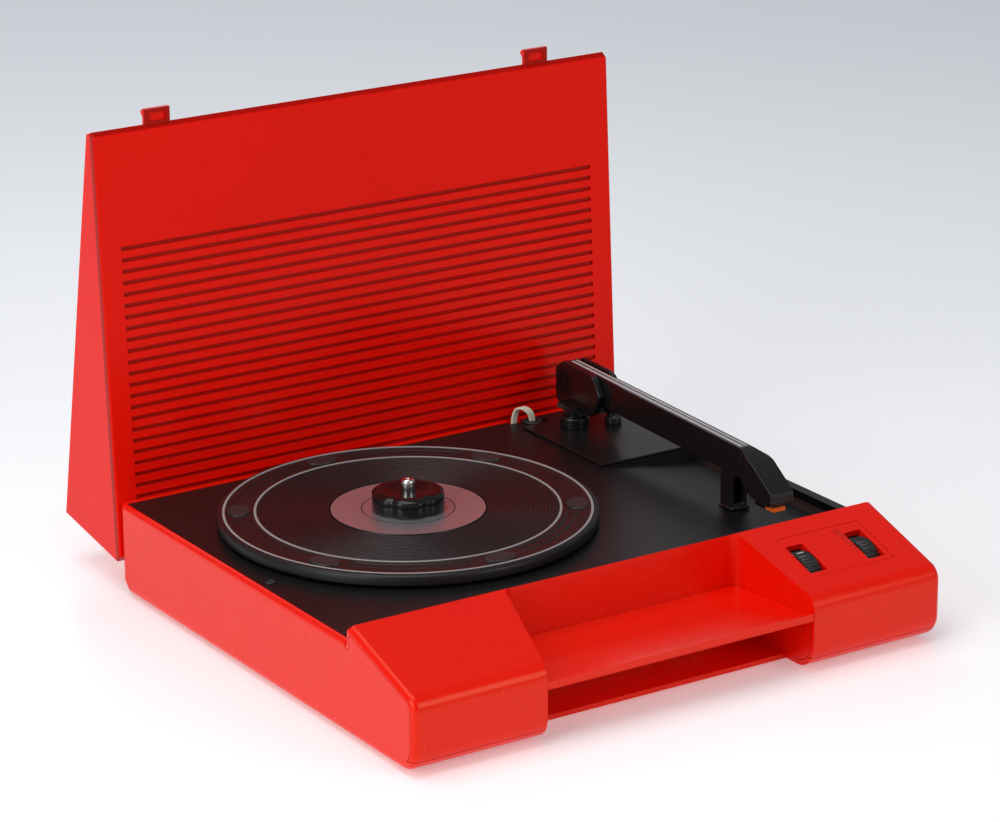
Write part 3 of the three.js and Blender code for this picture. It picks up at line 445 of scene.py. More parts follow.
SCREW_SEGMENTS = 48
SCREW_RINGS = 18
HEAD_HEIGHT = 0.0012
DOME_SHARE = 0.75
SLOT_DEPTH_SHARE = 0.5
SLOT_HALF_SHARE = 0.13
SLOT_EDGE_SHARE = 0.03
SLOT_REACH_SHARE = 0.93


def slotted_head(name, low, high):
    """A screw head on a polar grid.

    Its height falls with the square of the radius, and a straight slot is let into it across the middle.
    """
    centre = (low[:2] + high[:2]) / 2
    radius = (high[0] - low[0]) / 2
    tall = min(high[2] - low[2], HEAD_HEIGHT)
    share = np.linspace(1.0, 0.0, SCREW_RINGS)[:, None]
    turn = np.linspace(0, 2 * np.pi, SCREW_SEGMENTS, endpoint=False)[None, :]
    x, y = radius * share * np.cos(turn), radius * share * np.sin(turn)
    off_slot = np.abs(x * 0.8 + y * 0.6) / radius
    slot_wall = 1 / (1 + np.exp((off_slot - SLOT_HALF_SHARE) / SLOT_EDGE_SHARE)) * (share < SLOT_REACH_SHARE)
    z = high[2] - tall * DOME_SHARE * share**2 - tall * SLOT_DEPTH_SHARE * slot_wall
    top = np.stack([centre[0] + x, centre[1] + y, z], axis=-1)
    skirt = top[0].copy()
    skirt[:, 2] = low[2]
    return grid_piece(name, np.concatenate([skirt[None], top]), cap_end=False)


def corners_of(node):
    """The node's lowest and highest corners as arrays."""
    low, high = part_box(node)
    return np.array(low), np.array(high)


zinc = moulding("zinc_plate", (0.3, 0.29, 0.28), (0.2, 0.19, 0.18), 0.4, grain=2500.0, depth=6e-6, metallic=1.0)
blued_steel = moulding("blued_steel", (0.05, 0.048, 0.05), (0.03, 0.03, 0.032), 0.42, grain=2500.0, depth=6e-6,
                       metallic=1.0)
for node in ("deck_screw_left", "deck_screw_rear"):
    dress(slotted_head(node + "_head", *corners_of(node)), blued_steel, "base", "plated_steel", node)
eased("trip_post", hard_black, "gloss_black", 0.0003)

# ---------------------------------------------------------------- drive under the deck
# A small motor turns a pulley, and a flat rubber belt takes the turn to the drum under the platter. The
# bearing sleeve, the transformer and the amplifier board sit in the tray below.

belt_rubber = moulding("belt_rubber", (0.02, 0.02, 0.02), (0.03, 0.03, 0.03), 0.55, grain=1800.0, depth=1.5e-5)
copper = moulding("winding_copper", (0.5, 0.17, 0.06), (0.36, 0.1, 0.035), 0.3, grain=3000.0, depth=3e-5, metallic=1.0)
board_green = moulding("board_green", (0.03, 0.12, 0.05), (0.02, 0.09, 0.04), 0.38, grain=1800.0, depth=1e-5)
INNER_FINISHES = {
    "motor": zinc, "motor_pulley": hard_black, "drive_belt": belt_rubber, "bearing_sleeve": zinc,
    "transformer_core": zinc, "transformer_coil": copper, "amplifier_board": board_green,
    "tone_pot": zinc, "volume_pot": zinc,
}
for node, material in INNER_FINISHES.items():
    part = frame["nodes"][node]
    part.data.materials.clear()
    part.data.materials.append(material)

# ---------------------------------------------------------------- platter
# The platter is a black moulded disc with fine turned rings in its mat, a shallow channel cut between the
# rubber pads, and two raised rings whose tops are wiped with pale grey paint.

PLATTER_SEGMENTS = 216
RING_INNER = 0.0777
RING_OUTER = 0.0943
LABEL_RADIUS = 0.0396
PAD_COUNT = 6
PAD_FIRST = math.radians(30)
GROOVES = 19
GROOVE_STEPS = 12
GROOVE_DEPTH = 0.0004
BAND_DROP = 0.0005
CHANNEL_INNER, CHANNEL_OUTER, CHANNEL_WALL = 0.0812, 0.0893, 0.0006
RIDGE_INNER, RIDGE_OUTER, RIDGE_WALL = 0.0846, 0.0858, 0.0005
CHANNEL_DEPTH = 0.0005
RIDGE_HEIGHT = 0.00035
PAD_CLEARANCE, PAD_RAMP = math.radians(8.5), math.radians(2.0)
DRUM_OUTER, DRUM_INNER = 0.0622, 0.0602
BORE_RADIUS = 0.0040

label_low, label_high = corners_of("label_disc")
platter_low, platter_high = corners_of("platter")
platter_middle = (platter_low[:2] + platter_high[:2]) / 2
platter_radius = (platter_high[0] - platter_low[0]) / 2
platter_top = platter_high[2]


def stepped(value, edge, width):
    """Nought below the edge and one above it, turning over smoothly within the width."""
    share = np.clip((value - edge) / width + 0.5, 0, 1)
    return share * share * (3 - 2 * share)


def around(centre, radius, height, turn):
    """Rings of points about an upright line: radius and height are one number for each ring, or one for each point."""
    x = centre[0] + radius * np.cos(turn)
    y = centre[1] + radius * np.sin(turn)
    return np.stack(np.broadcast_arrays(x, y, height), axis=-1)


def platter_rings():
    """The platter's rings of points from its bore over the top, round the rim and back under the drum.

    Grooves are a rounded wave of the radius, and the channel sinks between the pads with a low ridge along it.
    """
    turn = np.linspace(0, 2 * np.pi, PLATTER_SEGMENTS, endpoint=False)[None, :]
    mat = np.linspace(LABEL_RADIUS + 0.0006, RING_INNER - 0.0006, GROOVES * GROOVE_STEPS + 1)
    wave = np.abs(np.sin(np.pi * (mat - mat[0]) / (mat[-1] - mat[0]) * GROOVES)) ** 0.8
    mat_height = platter_top - BAND_DROP - GROOVE_DEPTH * (1 - wave)
    band = np.linspace(RING_INNER + 0.0008, RING_OUTER - 0.0008, 40)
    inside = np.array([BORE_RADIUS, BORE_RADIUS, LABEL_RADIUS + 0.0002, LABEL_RADIUS + 0.0003])
    inside_height = platter_top - np.array([0.0040, 0.0011, 0.0011, 0.0001])
    rim = np.array([
        RING_OUTER + 0.0004, platter_radius - 0.0016, platter_radius - 0.0006, platter_radius, platter_radius,
        platter_radius - 0.0008, platter_radius - 0.003, platter_radius - 0.003, DRUM_OUTER, DRUM_OUTER,
        DRUM_INNER, DRUM_INNER, BORE_RADIUS,
    ])
    rim_height = np.array([
        platter_top - 0.0003, platter_top - 0.0004, platter_top - 0.0008, platter_top - 0.0018,
        platter_low[2] + 0.0013, platter_low[2] + 0.0006, platter_low[2] + 0.0005, platter_top - 0.0021,
        platter_top - 0.0021, platter_low[2] + 0.0001, platter_low[2] + 0.0001, platter_top - 0.0030,
        platter_top - 0.0040,
    ])
    radius = np.concatenate([inside, mat, [RING_INNER - 0.0002, RING_INNER, RING_INNER + 0.0006], band,
                             [RING_OUTER - 0.0006, RING_OUTER], rim])[:, None]
    height = np.concatenate([inside_height, mat_height, platter_top - np.array([BAND_DROP, 0.0002, 0.0002]),
                             np.full(band.shape, platter_top - BAND_DROP), platter_top - np.array([0.0002, 0.0002]),
                             rim_height])[:, None]
    in_band = stepped(radius, CHANNEL_INNER, CHANNEL_WALL) * (1 - stepped(radius, CHANNEL_OUTER, CHANNEL_WALL))
    ridge = stepped(radius, RIDGE_INNER, RIDGE_WALL) * (1 - stepped(radius, RIDGE_OUTER, RIDGE_WALL))
    from_pad = (turn - PAD_FIRST + np.pi / PAD_COUNT) % (2 * np.pi / PAD_COUNT) - np.pi / PAD_COUNT
    clear_of_pad = stepped(np.abs(from_pad), PAD_CLEARANCE, PAD_RAMP)
    on_top = (height > platter_top - 0.0007) & (radius > RING_INNER) & (radius < RING_OUTER)
    sunk = np.where(on_top, (CHANNEL_DEPTH * in_band - RIDGE_HEIGHT * ridge) * clear_of_pad, 0.0)
    return around(platter_middle, radius, height - sunk, turn)


platter_black = moulding("platter_black", (0.0075, 0.007, 0.0068), (0.012, 0.0112, 0.011), 0.36, spread=0.1,
                         grain=2600.0, depth=1.2e-5, dust=0.45, shine=0.3)
platter_shell = grid_piece("platter_disc", platter_rings(), cap_start=False, cap_end=False)
dress(platter_shell, platter_black, "platter", "platter_black", "platter")

pale_paint = moulding("ring_paint", (0.34, 0.31, 0.31), (0.26, 0.24, 0.24), 0.5, grain=2600.0)
RING_WIDTH = 0.0013
RING_CROWN = 0.00016
RING_SEAT = 0.00018


def ring_line(name, radius):
    """A thin raised hoop: a half round section carried once about the spindle."""
    turn = np.linspace(0, 2 * np.pi, PLATTER_SEGMENTS, endpoint=False)[None, :]
    across = np.linspace(0, np.pi, 7)[:, None]
    foot = np.array([RING_WIDTH / 2, *(np.cos(across[:, 0]) * RING_WIDTH / 2), -RING_WIDTH / 2])[:, None]
    lift = np.array([-0.0003, *(np.sin(across[:, 0]) * RING_CROWN), -0.0003])[:, None]
    rings = around(platter_middle, radius + foot, platter_top - RING_SEAT + lift, turn)
    return grid_piece(name, np.concatenate([rings, rings[:1]]), cap_start=False, cap_end=False)


dress(ring_line("platter_ring_inner", RING_INNER + 0.0003), pale_paint, "platter", "label_silver")
dress(ring_line("platter_ring_outer", RING_OUTER - 0.0003), pale_paint, "platter", "label_silver")

# ---------------------------------------------------------------- label disc
# A thin spun aluminium disc lies in the platter's centre. It has a fine turned grain and one black ring
# scribed round it.

LABEL_RING = 0.0238
LABEL_SEGMENTS = 192
SCRIBE_DEPTH = 0.00018
SCRIBE_WIDTH = 0.00028


def label_rings():
    """The disc's top from the bore to the rim and back underneath, with the scribed ring as a bell-shaped dip."""
    turn = np.linspace(0, 2 * np.pi, LABEL_SEGMENTS, endpoint=False)[None, :]
    face = np.linspace(0.0044, LABEL_RADIUS - 0.0002, 90)
    radius = np.concatenate([[0.0043], face, [LABEL_RADIUS, LABEL_RADIUS, 0.0043]])
    dip = SCRIBE_DEPTH * np.exp(-(((radius - LABEL_RING) / SCRIBE_WIDTH) ** 2))
    height = label_high[2] - dip
    height[-3] = label_high[2] - 0.0001
    height[-2:] = label_low[2]
    height[0] = label_high[2] - 0.0001
    return around(platter_middle, radius[:, None], height[:, None], turn)


spun_aluminium = moulding("spun_aluminium", (0.56, 0.54, 0.56), (0.47, 0.45, 0.47), 0.36, spread=0.1, grain=3000.0,
                          depth=4e-6, metallic=0.85, dust=0.4)
rings = label_rings()
dress(grid_piece("label_plate", np.concatenate([rings, rings[:1]]), cap_start=False, cap_end=False), spun_aluminium,
      "platter", "label_silver", "label_disc")
scribed_black = moulding("scribed_black", (0.02, 0.02, 0.02), (0.04, 0.035, 0.035), 0.5)
scribe_turn = np.linspace(0, 2 * np.pi, LABEL_SEGMENTS, endpoint=False)[None, :]
scribe_radius = LABEL_RING + np.array([-0.00045, -0.00036, 0.00036, 0.00045, 0.0])[:, None]
scribe_height = label_high[2] + np.array([-0.0002, -0.00003, -0.00003, -0.0002, -0.0003])[:, None]
rings = around(platter_middle, scribe_radius, scribe_height, scribe_turn)
dress(grid_piece("label_scribe", np.concatenate([rings, rings[:1]]), cap_start=False, cap_end=False), scribed_black,
      "platter", "gloss_black")

# ---------------------------------------------------------------- rubber pads
# Six oval pads of soft black rubber are pressed into the channel and stand a little proud, so that they
# carry the record. Each has a rounded shoulder and a slightly sunk middle.

PAD_REACH = 0.0864
PAD_ALONG = 0.0086
PAD_ACROSS = 0.0058
pad_rubber = moulding("pad_rubber", (0.012, 0.0125, 0.013), (0.02, 0.0205, 0.021), 0.5, grain=2200.0, depth=1.6e-5,
                      dust=0.5)


def pad_rings(angle, base, top):
    """An oval button: its outline is an ellipse turned to the angle.

    Its height is a rounded shoulder with a shallow bowl inside.
    """
    turn = np.linspace(0, 2 * np.pi, 48, endpoint=False)[None, :]
    share = np.array([0.99, 1.0, 1.0, 0.97, 0.9, 0.8, 0.6, 0.3, 0.0])[:, None]
    below_top = np.array([0.0005, 0.0001, 0.0, 0.0001, 0.00018, 0.0002, 0.0002])
    height = np.concatenate([[base, base], top - below_top])
    outward = PAD_ACROSS * share * np.cos(turn) + PAD_REACH
    along = PAD_ALONG * share * np.sin(turn)
    x = platter_middle[0] + outward * math.cos(angle) - along * math.sin(angle)
    y = platter_middle[1] + outward * math.sin(angle) + along * math.cos(angle)
    return np.stack(np.broadcast_arrays(x, y, height[:, None]), axis=-1)


for number in range(PAD_COUNT):
    node = f"pad_{number + 1}"
    low, high = corners_of(node)
    angle = PAD_FIRST + number * 2 * math.pi / PAD_COUNT
    pad = grid_piece(f"{node}_button", pad_rings(angle, low[2], high[2]), cap_end=False)
    dress(pad, pad_rubber, "platter", "rubber", node)

# ---------------------------------------------------------------- spindle
# The centre pin is turned steel, polished and chromed, with a chamfered end and a small centre-drill mark. It
# stands fast in the bearing sleeve, and the platter runs round it.

spindle_low, spindle_high = corners_of("spindle")
PIN_RADIUS = 0.0036
chrome = moulding("polished_chrome", (0.72, 0.7, 0.66), (0.6, 0.58, 0.55), 0.2, spread=0.05, grain=1500.0, depth=1e-6,
                  metallic=1.0, dust=0.0, scuffs=0.1)
pin_top = spindle_high[2]
pin_radius = np.array([0.0, PIN_RADIUS, PIN_RADIUS, PIN_RADIUS, PIN_RADIUS - 0.0001, PIN_RADIUS - 0.0004,
                       PIN_RADIUS - 0.0009, PIN_RADIUS - 0.0011, 0.0014, 0.0011, 0.0009, 0.0])[:, None]
pin_height = np.array([spindle_low[2], spindle_low[2], pin_top - 0.0060, pin_top - 0.0016, pin_top - 0.0011,
                       pin_top - 0.0005, pin_top - 0.0001, pin_top, pin_top, pin_top - 0.0001, pin_top - 0.0005,
                       pin_top - 0.0010])[:, None]
pin_turn = np.linspace(0, 2 * np.pi, 64, endpoint=False)[None, :]
spindle_rings = around(platter_middle, pin_radius, pin_height, pin_turn)
spindle_pin = grid_piece("spindle_pin", spindle_rings, cap_start=False, cap_end=False)
dress(spindle_pin, chrome, "base", "spindle_chrome", "spindle")

# ---------------------------------------------------------------- adapter for large-holed records
# A loose disc of glossy black plastic sits on the spindle. Its rim has six shallow finger scallops, the
# shoulder is rounded and the top is dished round the bore.

adapter_low, adapter_high = corners_of("single_adapter")
ADAPTER_RADIUS = 0.019
ADAPTER_LOBES = 6
ADAPTER_PHASE = math.radians(31)
SCALLOP_DEPTH = 0.0014
SCALLOP_SPREAD = math.radians(8.5)
gloss_black = moulding("gloss_black", (0.0055, 0.0052, 0.0052), (0.008, 0.0076, 0.0076), 0.15, depth=5e-6,
                       dust=0.12, shine=0.3)


def adapter_rings():
    """The adapter's section carried about the spindle.

    Near each of six angles the rim's radius dips by a bell curve of the angle.
    """
    turn = np.linspace(0, 2 * np.pi, 240, endpoint=False)[None, :]
    low, high = adapter_low[2], adapter_high[2]
    share = np.array([0.0, 0.0, 0.9, 1.0, 1.0, 1.0, 1.0, 1.0, 1.0, 1.0, 0.6, 0.3, 0.05, 0.0, 0.0, 0.0])[:, None]
    radius = np.array([0.0037, 0.0037, 0.0178, 0.0186, ADAPTER_RADIUS, ADAPTER_RADIUS, ADAPTER_RADIUS, 0.0187, 0.0180,
                       0.0170, 0.0145, 0.0125, 0.0078, 0.0066, 0.0050, 0.0037])[:, None]
    height = np.array([high - 0.0021, low, low, low + 0.0002, low + 0.0008, low + 0.004, high - 0.0026, high - 0.0019,
                       high - 0.0013, high - 0.0007, high, high - 0.0004, high - 0.0016, high - 0.0018, high - 0.0020,
                       high - 0.0021])[:, None]
    pitch = 2 * np.pi / ADAPTER_LOBES
    from_scallop = (turn - ADAPTER_PHASE + pitch / 2) % pitch - pitch / 2
    scallop = np.exp(-((from_scallop / SCALLOP_SPREAD) ** 2))
    return around(platter_middle, radius - SCALLOP_DEPTH * share * scallop, height, turn)


adapter = grid_piece("adapter_disc", adapter_rings(), cap_start=False, cap_end=False)
dress(adapter, gloss_black, "single_adapter", "gloss_black", "single_adapter")

# ---------------------------------------------------------------- thumbwheels
# Two ribbed wheels of black plastic stand edgewise in the panel's slots and turn the tone and volume
# controls. Each has a stub shaft that goes into its control.

WHEEL_RIBS = 36
WHEEL_WIDTH = 0.0086
RIB_DEPTH = 0.0009
RIB_SQUARENESS = 2.2
SHAFT_LENGTH = 0.0047
SHAFT_RADIUS = 0.0027


def wheel_rings(low, high, shaft_side):
    """A ribbed wheel with a stub shaft on one side.

    Both shoulders are rounded, and the ribs are a cosine of the angle squared off by a hyperbolic tangent.
    """
    middle_y, middle_z = (low[1] + high[1]) / 2, (low[2] + high[2]) / 2
    radius = (high[2] - low[2]) / 2 - 0.0001
    across = np.array([0.0, 0.0, 0.0, 0.03, 0.1, 0.9, 0.97, 1.0, 1.0, 1.0, 1.0, 1.0])[:, None] * WHEEL_WIDTH
    across[-2:] += SHAFT_LENGTH
    reach = np.array([0.0, 0.5, 0.94, 0.98, 1.0, 1.0, 0.98, 0.94, 0.5, 0.0, 0.0, 0.0])[:, None] * radius
    reach[-3:-1] = SHAFT_RADIUS
    share = np.array([0, 0, 0.2, 0.8, 1, 1, 0.8, 0.2, 0, 0, 0, 0])[:, None]
    turn = shaft_side * np.linspace(0, 2 * np.pi, WHEEL_RIBS * 10, endpoint=False)[None, :]
    rib = 0.5 + 0.5 * np.tanh(RIB_SQUARENESS * np.cos(WHEEL_RIBS * turn)) / math.tanh(RIB_SQUARENESS)
    r = reach - RIB_DEPTH * share * (1 - rib)
    x = low[0] + across if shaft_side > 0 else high[0] - across
    return np.stack(np.broadcast_arrays(x, middle_y + r * np.cos(turn), middle_z + r * np.sin(turn)), axis=-1)


wheel_black = moulding("wheel_black", (0.012, 0.012, 0.012), (0.018, 0.018, 0.018), 0.3, grain=1500.0, depth=1e-5,
                       dust=0.5)
for node, shaft_side in (("tone_wheel", 1), ("volume_wheel", -1)):
    wheel = grid_piece(node + "_ribbed", wheel_rings(*corners_of(node), shaft_side), cap_start=False, cap_end=False)
    dress(wheel, wheel_black, frame["nodes"][node]["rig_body"], "gloss_black", node)

# ---------------------------------------------------------------- scale beside the volume wheel
# Nine short strokes are hot-stamped in dark red beside the right wheel. They grow longer towards the back
# of the panel, like a wedge. One rib of the left wheel has a white index line painted on its crest.

STROKES = 9
STROKE_PITCH = 0.0022
STROKE_WIDTH = 0.00045
STROKE_PROUD = 0.0001
STROKE_LONGEST, STROKE_SHORTEST = 0.0046, 0.0014
SCALE_START = 0.0035
SCALE_RIGHT = 0.0112
PANEL_SLOPE = math.radians(18)
INDEX_ANGLE = math.radians(90)
INDEX_HALVES = (0.002, 0.0003, 0.00015)
INDEX_FROM_SIDE = 0.0034


def bars(name, middles, halves, axes):
    """Rectangular bars as one mesh.

    Each corner is the bar's middle plus or minus its half size along the three given axes.
    """
    square = np.array([[-1, -1], [1, -1], [1, 1], [-1, 1]])
    signs = np.concatenate([np.insert(square, 2, end, axis=1) for end in (-1, 1)])
    corners = middles[:, None, :] + (signs[None] * halves[:, None, :]) @ axes
    sides = np.array([[0, 3, 2, 1], [4, 5, 6, 7], [0, 1, 5, 4], [1, 2, 6, 5], [2, 3, 7, 6], [3, 0, 4, 7]])
    faces = (np.arange(len(middles))[:, None, None] * 8 + sides[None]).reshape(-1, 4)
    mesh = bpy.data.meshes.new(name)
    mesh.from_pydata(corners.reshape(-1, 3).tolist(), [], faces.tolist())
    piece = bpy.data.objects.new(name, mesh)
    bpy.context.scene.collection.objects.link(piece)
    return piece


panel_low, panel_high = corners_of("control_panel")
panel_axes = np.array([
    [1, 0, 0], [0, math.cos(PANEL_SLOPE), math.sin(PANEL_SLOPE)], [0, -math.sin(PANEL_SLOPE), math.cos(PANEL_SLOPE)],
])
panel_points = np.array([vertex.co for vertex in merged_copy("control_panel", "panel_measure").vertices])
panel_rise = panel_points @ panel_axes[1]
panel_height = (panel_points @ panel_axes[2]).max()
panel_middle = (panel_low[0] + panel_high[0]) / 2
down_slope = SCALE_START + STROKE_PITCH * np.arange(STROKES)
stroke_half = np.linspace(STROKE_LONGEST / 2, STROKE_SHORTEST / 2, STROKES)
stroke_middles = np.stack([panel_middle + SCALE_RIGHT - stroke_half, panel_rise.max() - down_slope,
                           np.full(STROKES, panel_height)], axis=1) @ panel_axes
stroke_halves = np.stack([stroke_half, np.full(STROKES, STROKE_WIDTH / 2), np.full(STROKES, STROKE_PROUD)], axis=1)
stamped_red = moulding("stamped_red", (0.22, 0.012, 0.006), (0.17, 0.01, 0.005), 0.4)
dress(bars("volume_scale", stroke_middles, stroke_halves, panel_axes), stamped_red, "base", "red_moulding")

tone_low, tone_high = corners_of("tone_wheel")
index_out = np.array([0, math.cos(INDEX_ANGLE), math.sin(INDEX_ANGLE)])
index_axes = np.array([[1, 0, 0], [0, index_out[2], -index_out[1]], index_out])
index_middle = (tone_low + tone_high) / 2 + index_out * (tone_high[2] - tone_low[2]) / 2
index_middle[0] = tone_low[0] + INDEX_FROM_SIDE
index_white = moulding("index_white", (0.75, 0.74, 0.72), (0.6, 0.59, 0.57), 0.5)
index_line = bars("tone_index", index_middle[None], np.array([INDEX_HALVES]), index_axes)
dress(index_line, index_white, "tone_wheel", "gloss_black")

# ---------------------------------------------------------------- tonearm
# The arm is a black moulded channel with a bright strip let into its top. It hangs on a pin in a polygonal
# yoke, which turns in a post, and ends in a headshell with stepped finger grips, a cartridge and a flip lever.

arm_black = moulding("arm_black", (0.006, 0.0058, 0.006), (0.0095, 0.0092, 0.0093), 0.26, spread=0.1, grain=1100.0,
                     depth=7e-6, dust=0.3, shine=0.36)
for node, edge in (("arm_post", 0.0003), ("arm_rest_post", 0.0005), ("arm_yoke", 0.0006), ("arm_beam", 0.0004),
                   ("headshell", 0.0004), ("cartridge", 0.0003)):
    eased(node, arm_black, "arm_black", edge)
eased("arm_pivot_pin", zinc, "plated_steel", 0.0002)
trim_silver = moulding("trim_silver", (0.16, 0.155, 0.16), (0.11, 0.107, 0.11), 0.4, grain=2600.0, depth=5e-6,
                       metallic=0.3)
eased("arm_trim", trim_silver, "arm_trim_silver", 0.0001)
lever_orange = moulding("lever_orange", (0.95, 0.2, 0.03), (0.85, 0.16, 0.02), 0.3, grain=1500.0)
eased("stylus_lever", lever_orange, "stylus_orange", 0.0002)

# ---------------------------------------------------------------- lines and ribs on the arm
# Two bright lines are hot-stamped along the strip on the arm's top. The yoke's outer cheek has six fine
# upright ribs moulded on it, and the headshell's lip has two cross ribs under its front edge for a fingertip.

ARM_PLACE = np.array([0.1065, 0.0792, 0.0])
ARM_YAW = math.radians(-2.65)
arm_axes = np.array([
    [math.cos(ARM_YAW), math.sin(ARM_YAW), 0], [-math.sin(ARM_YAW), math.cos(ARM_YAW), 0], [0, 0, 1.0],
])
LINE_MIDDLE = -0.0711
LINE_TOP = 0.0840
LINE_HALF_LENGTH = 0.0832
LINE_HALF_HEIGHT = 0.00018
line_places = np.array([[0.0059, LINE_MIDDLE, LINE_TOP], [0.0091, LINE_MIDDLE, LINE_TOP]])
line_halves = np.array([[0.00042, LINE_HALF_LENGTH, LINE_HALF_HEIGHT], [0.00028, LINE_HALF_LENGTH, LINE_HALF_HEIGHT]])
line_silver = moulding("line_silver", (0.66, 0.65, 0.66), (0.52, 0.51, 0.52), 0.35, grain=2600.0, depth=4e-6)
arm_lines = bars("arm_lines", ARM_PLACE + line_places @ arm_axes, line_halves, arm_axes)
dress(arm_lines, line_silver, "tonearm", "arm_trim_silver")

CHEEK_RIBS = 6
CHEEK_FACE = -0.00075
CHEEK_HEIGHT = 0.0735
CHEEK_FIRST, CHEEK_LAST = 0.004, 0.0165
CHEEK_RIB_HALVES = (0.00032, 0.00055, 0.0065)
cheek_places = np.stack([np.full(CHEEK_RIBS, CHEEK_FACE), np.linspace(CHEEK_FIRST, CHEEK_LAST, CHEEK_RIBS),
                         np.full(CHEEK_RIBS, CHEEK_HEIGHT)], axis=1)
cheek_halves = np.tile(CHEEK_RIB_HALVES, (CHEEK_RIBS, 1))
cheek_ribs = bars("yoke_ribs", ARM_PLACE + cheek_places @ arm_axes, cheek_halves, arm_axes)
dress(cheek_ribs, arm_black, "arm_yoke", "arm_black")


LIP_MIDDLE = 0.0075
LIP_FRONT = -0.1889


def lip_rib(name, height):
    """A round bar across the lip.

    It is a circle of half the rib's height carried along the arm's cross direction, with a smaller ring at each end.
    """
    turn = np.linspace(0, 2 * np.pi, 20, endpoint=False)[None, :]
    along = np.array([-0.0066, -0.0064, 0.0064, 0.0066])[:, None]
    radius = np.array([0.0004, 0.0006, 0.0006, 0.0004])[:, None]
    out, up = LIP_FRONT + radius * np.cos(turn), height + radius * np.sin(turn)
    local = np.stack(np.broadcast_arrays(LIP_MIDDLE + along, out, up), axis=-1)
    return grid_piece(name, ARM_PLACE + local @ arm_axes)


for name, height in (("lip_rib_upper", 0.0672), ("lip_rib_lower", 0.0646)):
    dress(lip_rib(name, height), arm_black, "tonearm", "arm_black")

# ---------------------------------------------------------------- lid
# The lid is a deep red shell, shot in one piece, with the loudspeaker's slits moulded across its face and
# two hooks on its top edge. It stands behind the base on two pegs.

lid_red = moulding("lid_red", (0.84, 0.0055, 0.001), (0.78, 0.004, 0.0008), 0.24, grain=700.0, depth=7e-6,
                   scuffs=0.15, dust=0.01, shine=0.16, tint=(1.0, 0.7, 0.5))
LID_LEAN = math.radians(2.9)
LID_FACE_Y = 0.1128
LID_FACE_Z = 0.0498
GROOVE_FLOOR = 0.0012
# Painted shade: the slits' walls and floors, down to the groove floor's depth behind the face, get a darker red laid
# over the lid's finish.
GROOVE_PAINTED_SHADE = (0.3, 0.0018, 0.0004)
GROOVE_PAINTED_SHADE_SHARE = 0.85
lid_tree = lid_red.node_tree
lid_place = place_axes(lid_tree)
face_start = LID_FACE_Y - LID_FACE_Z * math.tan(LID_LEAN)
face_line = worked(lid_tree, "MULTIPLY_ADD", lid_place["Z"], math.tan(LID_LEAN), face_start)
let_in = worked(lid_tree, "DIVIDE", worked(lid_tree, "SUBTRACT", lid_place["Y"], face_line), GROOVE_FLOOR)
near_face = worked(lid_tree, "LESS_THAN", let_in, 3.0)
let_in_share = worked(lid_tree, "MINIMUM", worked(lid_tree, "MAXIMUM", let_in, 0.0), 1.0)
in_groove = worked(lid_tree, "MULTIPLY", let_in_share, near_face)
darker_where(lid_red, in_groove, GROOVE_PAINTED_SHADE, GROOVE_PAINTED_SHADE_SHARE)
eased("lid_shell", lid_red, "lid_moulding", 0.0004)
for side in ("left", "right"):
    eased(f"latch_hook_{side}", lid_red, "red_moulding", 0.0004)
for side in ("left", "right"):
    eased(f"lid_support_{side}", case_red, "red_moulding", 0.0004)

# ---------------------------------------------------------------- cloth behind the slits
# A disc of thin red cloth is glued in behind the slits, level with the floor of the grooves, so that the
# loudspeaker doesn't show through them.

CLOTH_RADIUS = 0.0455
CLOTH_DEPTH = 0.00122
CLOTH_THICKNESS = 0.0002
frame_low, frame_high = corners_of("speaker_frame")
cloth_middle = np.array([(frame_low[0] + frame_high[0]) / 2, 0, (frame_low[2] + frame_high[2]) / 2])


def cloth_rings():
    """A thin round plate in the lid's leaning plane: circles of growing and then shrinking radius, front side first."""
    turn = np.linspace(0, 2 * np.pi, 96, endpoint=False)[None, :]
    radius = np.array([0.0, CLOTH_RADIUS * 0.5, CLOTH_RADIUS, CLOTH_RADIUS, 0.0])[:, None]
    depth = CLOTH_DEPTH + np.array([0, 0, 0, CLOTH_THICKNESS, CLOTH_THICKNESS])[:, None]
    x = cloth_middle[0] + radius * np.cos(turn)
    up = cloth_middle[2] - LID_FACE_Z + radius * np.sin(turn)
    y = LID_FACE_Y + up * math.tan(LID_LEAN) + depth
    return np.stack(np.broadcast_arrays(x, y, LID_FACE_Z + up), axis=-1)


cloth_red = moulding("cloth_red", (0.55, 0.004, 0.001), (0.45, 0.003, 0.001), 0.85, grain=2400.0, depth=3e-5, shine=0.1)
dress(grid_piece("slit_cloth", cloth_rings(), cap_start=False, cap_end=False), cloth_red, "lid", "lid_moulding")

# ---------------------------------------------------------------- loudspeaker
# Behind the slits a paper cone in a pressed steel basket is held on a hardboard baffle, with its magnet
# behind it. The socket for the lead is in the lid's lower edge.

baffle_board = moulding("baffle_board", (0.2, 0.03, 0.015), (0.15, 0.022, 0.01), 0.75, grain=1200.0, depth=4e-5,
                        dust=0.8)
cone_paper = moulding("cone_paper", (0.035, 0.033, 0.03), (0.06, 0.055, 0.05), 0.8, grain=1600.0, depth=5e-5, sheen=0.1)
eased("speaker_baffle", baffle_board, "baffle_board", 0.0003)
eased("speaker_cone", cone_paper, "cone_paper", 0.0003)
eased("speaker_frame", zinc, "plated_steel", 0.0003)
eased("speaker_magnet", zinc, "plated_steel", 0.0004)
eased("lid_socket", hard_black, "gloss_black", 0.0003)
eased("lead_grommet", pad_rubber, "rubber", 0.0003)
